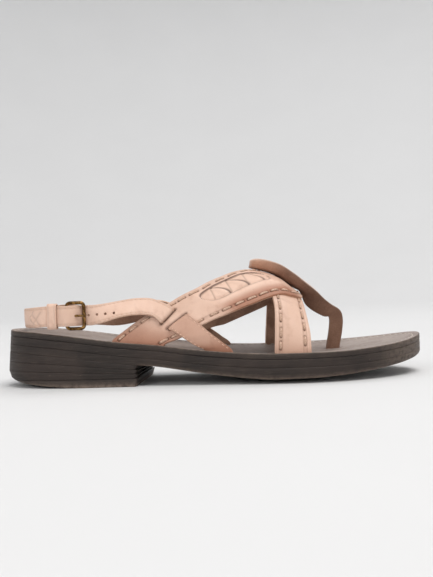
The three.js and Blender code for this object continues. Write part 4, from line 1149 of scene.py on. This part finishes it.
def thong_rows():
    """Fine rows of seven points along the thong, from the leaf's free tip to the foot of the toe post."""
    columns = 6
    neck = len(LEAF_RIBS) - 1

    def centre(count):
        along, side, _, rise = ribs_at(LEAF_RIBS, count)[:4]
        lift = rise * BAND_THICKNESS + SEAT_GAP + THONG_THICKNESS / 2
        top = footbed_top(along, STRAP_ACROSS) + INSTEP_HEIGHT * curve(RIDGE[:, 0], RIDGE[:, 1], along)
        return np.array([along * SOLE_LENGTH, side * POST_OFFSET, top + lift], float)

    rows = []
    for count in np.linspace(0, neck, 2 * neck + 1):
        width, roll, curl = (float(ribs_at(LEAF_RIBS, count)[column]) for column in (2, 4, 5))
        travel = centre(min(count + 0.5, neck)) - centre(max(count - 0.5, 0))
        upright = unit(np.array([-travel[2], 0, travel[0]]))
        step = width * LEAF_WIDTH / columns

        def turned(angle):
            return np.array([0, -math.cos(math.radians(angle)), 0]) + upright * math.sin(math.radians(angle))

        middle = centre(count)
        near, spot = [], middle.copy()
        for k in range(columns // 2):
            spot = spot + step * turned(roll + curl * (k + 0.5) / (columns // 2))
            near.insert(0, spot.copy())
        far = [middle - k * step * turned(roll) for k in range(1, columns // 2 + 1)]
        rows.append([*near, middle, *far])

    def post_row(spot, turn):
        wide = np.array([math.cos(math.radians(turn)), 0, math.sin(math.radians(turn))])
        return [spot + wide * reach for reach in np.linspace(POST_WIDTH / 2, -POST_WIDTH / 2, columns + 1)]

    def level_at(function, x):
        share = x / SOLE_LENGTH
        return float(function(share, POST_OFFSET / edge_y("medial", share)))

    base = level_at(footbed_top, POST_POSITION)
    for shift, level, turn in POST_RIBS:
        spot = np.array([POST_POSITION + shift * POST_WIDTH, POST_OFFSET, base + level * POST_HEIGHT])
        rows.append(post_row(spot, turn))
    x = POST_POSITION + POST_RIBS[-1][0] * POST_WIDTH
    rows.append(post_row(np.array([x, POST_OFFSET, level_at(footbed_bottom, x + POST_WIDTH / 2)]), 0))
    knots = np.array(rows)
    places = np.linspace(0, len(knots) - 1, 16 * (len(knots) - 1) + 1)
    fine = np.stack([centripetal(knots[:, k], places) for k in range(columns + 1)], 1)
    return soften(evened(fine, fine[:, columns // 2], 0.45), 3)


def make_thong():
    rows = thong_rows()
    width = np.linalg.norm(np.diff(rows, axis=1), axis=-1).sum(axis=1)
    distance = strap_columns(width, 30)
    place = distance / width[:, None] * (rows.shape[1] - 1)
    middle = np.stack([centripetal(row, spots) for row, spots in zip(rows, place)])
    travel = arc_lengths(middle[:, middle.shape[1] // 2])[:, None]
    # The pale cut edge widens towards the leaf's tip, where it also stands in for a painted highlight;
    # painted shade darkens the leaf's underside away from its tip.
    rim = mix(1.6, 0.75, smooth(3, 16, travel))
    piece = strap_piece("thong_leather_strip", thong_leather, middle, distance, width,
                        THONG_THICKNESS, reach=0.6, under_shade=smooth(4, 26, travel), rim=rim, end_rim=2.2)
    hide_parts("thong")


# Sole


def sole_shares(rows, trim=0.006):
    t = np.linspace(0, 1, rows)
    return (1 - np.cos(np.pi * mix(trim, 1 - trim, t))) / 2


RIM_REACH = 9.0
RIM_COUNT = 16


def rim_columns(width, inner):
    """Places across a sole row as -1 to 1, fine near both edges."""
    near = np.linspace(0, 1, RIM_COUNT) * np.minimum(RIM_REACH, 0.36 * width)[:, None]
    middle = mix(near[:, -1:], width[:, None] - near[:, -1:], np.linspace(0, 1, inner)[None, 1:-1])
    distance = np.concatenate([near, middle, width[:, None] - near[:, ::-1]], axis=1)
    return -1 + 2 * distance / width[:, None]


def stacked(grids, worn):
    """Closed solid from equal grids, the first and last kept whole.

    The second argument gives the wear at the rim of each grid. Returns points, faces, their materials and
    attributes.
    """
    rows, columns, _ = grids[0].shape
    ring = ring_numbers(rows, columns)
    count = rows * columns
    points = [grids[0].reshape(-1, 3), grids[-1].reshape(-1, 3)]
    rings = [ring]
    start = 2 * count
    for grid in grids[1:-1]:
        points.append(grid.reshape(-1, 3)[ring])
        rings.append(start + np.arange(len(ring)))
        start += len(ring)
    rings.append(count + ring)
    faces = [grid_faces(rows, columns, 0, True), grid_faces(rows, columns, count)]
    kinds = [np.zeros(len(faces[0]), int), np.full(len(faces[1]), 2)]
    for low, high in zip(rings, rings[1:]):
        faces.append(ring_quads(low, high))
        kinds.append(np.ones(len(low), int))
    points = np.concatenate(points)
    around, rub = np.zeros((2, len(points)))
    lap = arc_lengths(closed_line(grids[-1].reshape(-1, 3)[ring]))[:-1]
    for numbers, amount in zip(rings, worn or [0] * len(rings)):
        around[numbers] = lap
        rub[numbers] = amount
    run = np.stack([around, points[:, 2], 0 * around], -1)
    return points, np.concatenate(faces).tolist(), np.concatenate(kinds), {"run": run, "worn": rub}


def layer_grid(share, across, level, bottom, top, inset):
    """Points of a layer at one level. Inset is a function of share, added to the heel's own."""
    def height(s, a):
        return mix(bottom(s, a), top(s, a), level)

    return sole_point(share, across, height, lambda s, h: heel_inset(s, h) + inset(s))


# Strength of a painted highlight on the sole's edge towards the toe, where its rounded end catches the light
TOE_SHEEN = 0.5


def sole_stack(name, node, materials, across, steps, bottom, top, worn=None, extra=None,
               seat_inset=1.0):
    """Layer of the sole. Steps are (level, inset) from the bottom up; materials are under, side and top.

    Over the heel the insets are multiplied by seat_inset.
    """
    breast = BREAST_POSITION / SOLE_LENGTH

    def off_heel(share):
        return mix(seat_inset, 1.0, smooth(breast - 0.02, breast + 0.01, share))

    grids = [layer_grid(ROW_SHARES[:, None], across, level, bottom, top, lambda s: inset * off_heel(s))
             for level, inset in steps]
    if extra is not None:
        grids[-1] = extra(grids[-1])
    points, faces, kinds, attributes = stacked(grids, worn)
    forward = points[:, 0] / SOLE_LENGTH
    # Painted highlight: the edge is lightened towards the toe.
    toe_sheen = TOE_SHEEN * smooth(0.82, 0.99, forward)
    attributes["worn"] = np.maximum(attributes["worn"] * off_heel(forward), toe_sheen)
    piece = make_object(name, points, faces, materials, kinds, attributes)
    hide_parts(node)
    return piece, points


SOLE_ROWS = 260
ROW_SHARES = sole_shares(SOLE_ROWS)
ROW_WIDTHS = edge_y("medial", ROW_SHARES) - edge_y("lateral", ROW_SHARES)
FINE_ACROSS = rim_columns(ROW_WIDTHS, 22)
PLAIN_ACROSS = np.linspace(-1, 1, 9)[None, :] + 0 * ROW_WIDTHS[:, None]
BORDER_INSET = 4.3
BORDER_PITCH = 4.8
BORDER_PART = 0.66
OUTLINE_COUNT = 900


def outline_ring(inset):
    """Closed line inside the sole's outline, evenly spaced, as x and y."""
    shares = sole_shares(OUTLINE_COUNT // 2, 0.002)
    sides = [np.stack([shares * SOLE_LENGTH, edge_y(side, shares)], -1) for side in ("lateral", "medial")]
    ring = np.concatenate([sides[0], sides[1][::-1]])
    closed = closed_line(ring)
    lengths = arc_lengths(closed)
    ring = sampled(np.linspace(0, lengths[-1], OUTLINE_COUNT, endpoint=False), lengths, closed)
    travel = unit(np.roll(ring, -3, 0) - np.roll(ring, 3, 0))
    inward = np.stack([-travel[:, 1], travel[:, 0]], -1)
    return ring + inward * inset


def footbed_height(x, y):
    share = x / SOLE_LENGTH
    low, high = edge_y("lateral", share), edge_y("medial", share)
    across = np.clip(2 * (y - low) / np.maximum(high - low, 1e-6) - 1, -1, 1)
    return footbed_top(share, across)


def footbed_slots():
    """Stretches where straps run down through the footbed."""
    slots = []
    for hand, upper in ((1, False), (-1, True)):
        for count in (1, len(BAND_RIBS) - 2):
            slots.append([band_point(hand, upper, count, side, BAND_THICKNESS / 2) for side in (-1.0, 1.0)])
        leg = leg_rows(hand, np.array([1.0]))[0]
        slots.append([leg[0], leg[2]])
    x = POST_POSITION + POST_RIBS[-1][0] * POST_WIDTH
    slots.append([np.array([x + reach, POST_OFFSET, 0.0]) for reach in (-POST_WIDTH / 2, POST_WIDTH / 2)])
    return [(start[:2], end[:2]) for start, end in slots]


def slot_share(flat):
    """1 at the slots of the footbed, falling to 0 beside them."""
    away = np.min([segment_away(flat, start, end) for start, end in footbed_slots()], axis=0)
    return bump_at(np.maximum(away, 0.9), 0.9, 1.1)


def dress_footbed(grid):
    """Border groove, soft edge and slots of the footbed's top."""
    rim = outline_ring(0)
    flat = grid[..., :2].reshape(-1, 2)
    away = np.concatenate([
        np.sqrt(((part[:, None] - rim[None]) ** 2).sum(-1)).min(1) for part in np.array_split(flat, 40)
    ]).reshape(grid.shape[:2])
    groove = 0.5 * bump_at(away, BORDER_INSET, 0.6)
    welt = 0.18 * bump_at(away, BORDER_INSET - 1.9, 1.2)
    dressed = grid.copy()
    inner = np.zeros(away.shape)
    inner[1:-1, 1:-1] = 1
    slots = 0.7 * slot_share(flat).reshape(away.shape)
    dressed[..., 2] += inner * (welt - groove - slots)
    return dressed


def make_sole():
    steps = [(0, 0.12), (0.1, 0), (0.82, 0.0), (0.93, 0.14), (1, 0.45)]
    footbed, points = sole_stack(
        "footbed_leather_sock", "footbed", [sole_edge, sole_edge, footbed_leather],
        FINE_ACROSS, steps, footbed_bottom, footbed_top,
        worn=[0, 0, 0.1, 0.5, 1], extra=dress_footbed,
    )
    x, y = points[:, 0], points[:, 1]
    press = bump_at(x, 192, 26) * bump_at(y, -6, 30) + 0.8 * bump_at(x, 38, 24) * bump_at(y, 0, 20)
    press += 0.6 * bump_at(x, 240, 8) * bump_at(y, -14, 14)
    # Foot stains where the foot bears, and painted shade in the slots where straps run down into the footbed.
    add_attributes(footbed.data, {"press": press, "painted_shade_and_dark_lines": 0.85 * slot_share(points[:, :2])})
    closed = closed_line(outline_ring(BORDER_INSET))
    lengths = arc_lengths(closed)
    stitches = []
    for start, end in stitch_places(BORDER_PITCH, BORDER_PART, 0.5, lengths[-1] - 0.5, 0.04):
        at = np.linspace(start, end, 5)
        x, y = sampled(at, lengths, closed).T
        stitches.append((stack(x, y, footbed_height(x, y) - 0.32), np.tile([0, 0, 1.0], (5, 1))))
    stitch_piece("border_stitching", border_thread, stitches, 0.5, 0.22)

    def close(function, amount):
        return lambda share, across: function(share, across) + amount

    hair = SEAT_GAP / 2 - 0.02
    sole_stack("midsole_layer", "midsole", [sole_edge], PLAIN_ACROSS,
               [(0, 0.16), (0.1, 0.04), (0.5, 0), (0.9, 0.04), (1, 0.16)],
               close(midsole_bottom, -hair), close(midsole_top, hair))
    sole_stack(
        "outsole_layer", "outsole", [sole_tread, sole_edge, sole_edge], PLAIN_ACROSS,
        [(0, SOLE_EDGE_ROUND), (0.05, 0.72 * SOLE_EDGE_ROUND), (0.12, 0.45 * SOLE_EDGE_ROUND),
         (0.25, 0.2 * SOLE_EDGE_ROUND), (0.5, 0.03), (0.92, 0), (1, 0.14)],
        outsole_bottom, close(outsole_top, hair), worn=[1, 0.8, 0.5, 0.2, 0, 0, 0], seat_inset=0.08,
    )


HEEL_ROWS = 90
HEEL_ACROSS = np.linspace(-1, 1, 13)


def heel_piece(name, node, bottom, top, levels, worn=None):
    """Layer of the heel. Levels are (level, inset) from the bottom up."""
    forward = 1 - np.cos(np.pi / 2 * mix(0.012, 1, np.linspace(0, 1, HEEL_ROWS)))[:, None]
    grids = []
    for level, inset in levels:
        breast = BREAST_POSITION + BREAST_SKEW * HEEL_ACROSS / 2 - BREAST_LEAN * (1 - level)
        share = breast / SOLE_LENGTH * forward
        grids.append(layer_grid(share, HEEL_ACROSS, level, bottom, top, lambda s: inset))
    points, faces, kinds, attributes = stacked(grids, worn)
    materials = [sole_tread, sole_edge, sole_edge]
    piece = make_object(name, points, faces, materials, kinds, attributes)
    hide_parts(node)


def make_heel():
    base = TOP_PIECE_THICKNESS + SEAT_GAP
    hair = SEAT_GAP - 0.04

    def seat(share, across):
        return outsole_bottom(share, across) - SEAT_GAP

    for number in range(LIFT_COUNT):
        def bottom(share, across, number=number):
            return mix(base, seat(share, across), number / LIFT_COUNT)

        def top(share, across, number=number):
            level = mix(base, seat(share, across), (number + 1) / LIFT_COUNT)
            return level + SEAT_GAP - 0.02 if number == LIFT_COUNT - 1 else level - SEAT_GAP + hair

        heel_piece(f"heel_lift_layer_{LIFT_COUNT - number}", f"heel_lift_{LIFT_COUNT - number}", bottom, top,
                   [(0, 0.1), (0.12, 0.0), (0.88, 0.0), (1, 0.1)])
    heel_piece("heel_top_layer", "heel_top_piece", lambda s, a: heel_ground(s),
               lambda s, a: TOP_PIECE_THICKNESS + hair + 0 * s,
               [(0, 0), (0.06, 0), (0.14, 0), (0.28, 0), (0.5, 0), (0.94, 0), (1, 0.12)],
               worn=[1, 1, 0.85, 0.55, 0.2, 0, 0])


# Buckle and keeper


def ring_sweep(name, materials, path, outward, sideways, section, attributes=None):
    """Closed ring: a section of (out, side) points carried round a closed path."""
    section = np.asarray(section)
    points = path[:, None] + outward[:, None] * section[:, :1] + sideways[:, None] * section[:, 1:]
    rings = np.arange(len(path) * len(section)).reshape(len(path), -1)
    faces = np.concatenate([ring_quads(low, high) for low, high in zip(rings, np.roll(rings, -1, 0))])
    return fix_normals(make_object(name, points.reshape(-1, 3), faces, materials,
                                   attributes=attributes))


CORNER_STEPS = 9
# Pieces of a stretch that is longer than a straight's least length
STRAIGHT_PIECES = 5
LEAST_STRAIGHT = 1.5


def rounded_path(half_a, half_b, corner):
    """Points and outward directions round a rectangle with round corners, in two axes."""
    spots, outs = [], []
    for number, (sa, sb) in enumerate([(1, 1), (-1, 1), (-1, -1), (1, -1)]):
        for step in np.linspace(0, 1, CORNER_STEPS):
            turn = (number + step) * np.pi / 2
            out = (math.cos(turn), math.sin(turn))
            spots.append((sa * (half_a - corner) + corner * out[0], sb * (half_b - corner) + corner * out[1]))
            outs.append(out)
    closed, turns = closed_line(np.array(spots)), closed_line(np.array(outs))
    fine_spots, fine_outs = [], []
    for a, b, p, q in zip(closed, closed[1:], turns, turns[1:]):
        pieces = STRAIGHT_PIECES if np.linalg.norm(b - a) > LEAST_STRAIGHT else 1
        for k in range(pieces):
            fine_spots.append(mix(a, b, k / pieces))
            fine_outs.append(mix(p, q, k / pieces))
    return np.array(fine_spots), unit(np.array(fine_outs))


def circle(radius, sides, squash=1.0):
    turns = np.linspace(0, 2 * np.pi, sides, endpoint=False)
    return np.stack([radius * np.cos(turns), radius * squash * np.sin(turns)], -1)


def make_buckle():
    spots, outs = rounded_path(BUCKLE_LENGTH / 2, BUCKLE_HEIGHT / 2, BUCKLE_CORNER)
    centre = np.array([BUCKLE_REAR_BAR + BUCKLE_LENGTH / 2, BUCKLE_Y - FRAME_DEPTH, BUCKLE_Z])
    path = centre + stack(spots[:, 0], 0, spots[:, 1])
    outward = stack(outs[:, 0], 0, outs[:, 1])
    frame_piece = ring_sweep("buckle_frame_brass", [old_brass], path, outward,
                             np.tile([0, 1.0, 0], (len(path), 1)), circle(BUCKLE_WIRE, 18))
    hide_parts("buckle_frame")
    ring = EYE_BORE + PRONG_RADIUS
    turns = np.linspace(0, 2 * np.pi, 28, endpoint=False)
    bar = np.array([BUCKLE_REAR_BAR, BUCKLE_Y - FRAME_DEPTH, BUCKLE_Z])
    out = stack(np.cos(turns), np.sin(turns), 0)
    ring_sweep("buckle_prong_loop", [old_brass], bar + out * (EYE_BORE + PRONG_RADIUS / 2),
               out, np.tile([0, 0, 1.0], (28, 1)), circle(PRONG_RADIUS / 2, 10, 1.7))
    start = bar + np.array([0.75 * ring, -0.5 * ring, 0])
    tip = bar + np.array([BUCKLE_LENGTH + 1.7 * BUCKLE_WIRE, -(BUCKLE_WIRE + PRONG_RADIUS + 0.1), 0])
    controls = [start, mix(start, tip, 0.35) + [0, -0.5, 0], mix(start, tip, 0.75) + [0, -0.35, 0], tip]
    line = centripetal(controls, np.linspace(0, 3, 22))
    travel = unit(np.gradient(line, axis=0))
    up = np.tile([0, 0, 1.0], (len(line), 1))
    side = unit(np.cross(travel, up))
    t = np.linspace(0, 1, len(line))
    point = np.sqrt(np.maximum(0.02, 1 - np.maximum(0, (t - 0.93) / 0.07) ** 2))
    points, faces = tube(line, side, up, PRONG_RADIUS * mix(1.0, 0.72, t) * point, 12)
    prong = fix_normals(make_object("buckle_prong_brass", points, faces, [old_brass]))
    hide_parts("buckle_prong")


def make_keeper():
    low = -SLING_THICKNESS / 2 - SEAT_GAP
    high = TAIL_DEPTH + SLING_THICKNESS / 2 + SEAT_GAP
    half_depth, half_height = (high - low) / 2 + KEEPER_WALL / 2, SLING_WIDTH / 2 + SEAT_GAP + KEEPER_WALL / 2
    spots, outs = rounded_path(half_depth, half_height, 1.5)
    centre = np.array([KEEPER_POSITION, BUCKLE_Y - (high + low) / 2, BUCKLE_Z])
    path = centre + stack(0, -spots[:, 0], spots[:, 1])
    outward = stack(0, -outs[:, 0], outs[:, 1])
    across = np.array([-1, -0.97, -0.9, -0.7, -0.35, 0, 0.35, 0.7, 0.9, 0.97, 1]) * KEEPER_WIDTH / 2
    body = KEEPER_WALL / 2 * np.array([0.15, 0.6, 0.9, 1, 1.0, 1.05, 1.0, 1, 0.9, 0.6, 0.15])
    section = np.concatenate([np.stack([body, across], -1), np.stack([-body[::-1], across[::-1]], -1)])
    count = len(path) * len(section)
    edge = np.tile(np.clip(np.abs(section[:, 1]) / (KEEPER_WIDTH / 2) * 12 - 11, 0, 1), len(path))
    flesh = np.tile(np.where(section[:, 0] < 0, 1.0, 0.0), len(path))
    painted_shade_and_dark_lines = 0.25 * np.tile(bump_at(np.abs(section[:, 1]), KEEPER_WIDTH / 2 - 0.7, 0.25), len(path))
    keeper = ring_sweep("keeper_loop", [strap_leather], path, outward,
                        np.tile([1.0, 0, 0], (len(path), 1)), section,
                        {"edge": edge, "flesh": flesh, "painted_shade_and_dark_lines": painted_shade_and_dark_lines, "shade": np.zeros(count),
                         "run": np.zeros((count, 3))})
    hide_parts("strap_keeper")


def tube_cutter(name, ends, radius):
    ends = np.array(ends, float)
    axis = unit(ends[1] - ends[0])
    side = unit(np.cross(axis, [0.3, 0.2, 1.0]))
    up = np.cross(axis, side)
    return fix_normals(plain_object(name, *tube(ends, [side, side], [up, up], [radius, radius], 20)))


def block_cutter(name, low, high):
    points = [(x, y, z) for x in (low[0], high[0]) for y in (low[1], high[1]) for z in (low[2], high[2])]
    faces = [[0, 1, 3, 2], [4, 6, 7, 5], [0, 4, 5, 1], [2, 3, 7, 6], [0, 2, 6, 4], [1, 5, 7, 3]]
    return fix_normals(plain_object(name, points, faces))


# The shoe

make_sole()
make_heel()
front_band, front_stitches = make_band("band_medial_to_lateral", 1, False)
top_band, top_stitches = make_band("band_lateral_to_medial", -1, True)
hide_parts("upper_straps")
stitch_piece("band_stitching", strap_thread, front_stitches + top_stitches, 0.72, 0.12)
lateral_strap, lateral_rows, lateral_stitches = make_sling(
    "sling_lateral_strap", -1, lateral_controls(), [(0.0, 0.03)])
medial_strap, medial_rows, medial_stitches = make_sling(
    "sling_medial_strap", 1, medial_controls(), [(0.9, 1.0)])
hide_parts("sling_strap_lateral")
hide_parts("sling_strap_medial")
stitch_piece("sling_stitching", sling_thread, lateral_stitches + medial_stitches,
             0.26, 0.12, 5)
make_thong()
# Rows of a sling strap that lie in the slits of a band
LEG_ROWS = 150
cut_out(top_band, cutter_sheet("slit_lateral", lateral_rows[:LEG_ROWS:2], SLING_THICKNESS, SEAT_GAP))
cut_out(front_band, cutter_sheet("slit_medial", medial_rows[:LEG_ROWS:2], SLING_THICKNESS, SEAT_GAP))
hole_places = [(FRONT_BAR + FIRST_HOLE + k * HOLE_PITCH, BUCKLE_Z + k * HOLE_RISE) for k in range(HOLE_COUNT)]
cut_out(lateral_strap, *[
    tube_cutter(f"hole_{k}", [(x, BUCKLE_Y + side, z) for side in (-6, 6)], HOLE_RADIUS)
    for k, (x, z) in enumerate(hole_places)
])
notch_half = PRONG_RADIUS + SEAT_GAP
cut_out(medial_strap, block_cutter(
    "eye_notch",
    (BUCKLE_REAR_BAR - EYE_BORE - notch_half, BUCKLE_Y - 2 * EYE_RADIUS, BUCKLE_Z - notch_half),
    (BUCKLE_REAR_BAR + 2 * EYE_RADIUS, BUCKLE_Y + 2 * EYE_RADIUS, BUCKLE_Z + notch_half),
))
make_buckle()
make_keeper()


# Camera and light


def aim(thing, spot):
    thing.rotation_mode = "QUATERNION"
    thing.rotation_quaternion = (Vector(spot) - thing.location).to_track_quat("-Z", "Y")


camera = linked("camera", bpy.data.cameras.new("camera"))
CAMERA_SPOT = [133.0, -480.0, 56.5]
ROLL = math.radians(2.0)
# Both in pixels of the photograph
PHOTO_LONG_SIDE = 577
FOCAL_LENGTH = 753
camera.data.sensor_width = 36
camera.data.lens = FOCAL_LENGTH / PHOTO_LONG_SIDE * camera.data.sensor_width
camera.data.clip_start = 0.01
right = Vector((math.cos(ROLL), 0, -math.sin(ROLL)))
up = Vector((math.sin(ROLL), 0, math.cos(ROLL)))
spot = Vector(metres(CAMERA_SPOT).tolist())
back = Vector((0, -1, 0))
camera.matrix_world = Matrix.Translation(spot) @ Matrix((right, up, back)).transposed().to_4x4()
bpy.context.scene.camera = camera


def area_light(name, spot, target, size, power, colour=(1, 1, 1)):
    data = bpy.data.lights.new(name, "AREA")
    data.shape = "DISK"
    data.size = size
    data.energy = power
    data.color = colour
    lamp = linked(name, data)
    lamp.location = spot
    aim(lamp, target)


LAMP_SIZE = 2.0
area_light("key_light", (0.7, -0.9, 3.0), (0.02, 0, 0.02), LAMP_SIZE, 62.0, (1.0, 0.98, 0.96))
area_light("fill_light", (-1.6, -2.4, 1.3), (0, 0, 0.03), LAMP_SIZE, 22.0)
area_light("rear_light", (0.7, 1.6, 3.1), (0, 0, 0.03), LAMP_SIZE, 27.0)
bpy.context.scene.view_settings.view_transform = "Standard"

world = bpy.data.worlds.new("studio")
bpy.context.scene.world = world
world.use_nodes = True
world.node_tree.nodes["Background"].inputs["Color"].default_value = (0.93, 0.94, 0.96, 1)
world.node_tree.nodes["Background"].inputs["Strength"].default_value = 0.5


# In metres
FLOOR_FLAT = 1.4
FLOOR_REACH = 4.0
FLOOR_RISE = 2.6


def make_floor():
    """Pale round floor that rises softly far behind the shoe on every side."""
    radii = np.linspace(0.4, FLOOR_REACH, 28)
    sides = 96
    points, faces = [(0, 0, 0)], []
    for radius in radii.tolist():
        rise = FLOOR_RISE * max(0, (radius - FLOOR_FLAT) / (FLOOR_REACH - FLOOR_FLAT)) ** 2.2
        for k in range(sides):
            turn = 2 * math.pi * k / sides
            points.append((radius * math.cos(turn), radius * math.sin(turn), rise))
    for k in range(sides):
        faces.append([0, 1 + k, 1 + (k + 1) % sides])
    for ring in range(len(radii) - 1):
        for k in range(sides):
            a, b = 1 + ring * sides + k, 1 + ring * sides + (k + 1) % sides
            faces.append([a, a + sides, b + sides, b])
    mesh = bpy.data.meshes.new("studio_floor")
    mesh.from_pydata(points, [], faces)
    mesh.polygons.foreach_set("use_smooth", np.ones(len(faces), bool))
    f = Finish("studio_floor")
    f.set("Base Color", f.blend(f.noise(0.004, 2), (0.68, 0.68, 0.68, 1), (0.71, 0.71, 0.71, 1)))
    f.set("Roughness", 0.9)
    mesh.materials.append(f.material)
    floor = linked("studio_floor", mesh)


make_floor()
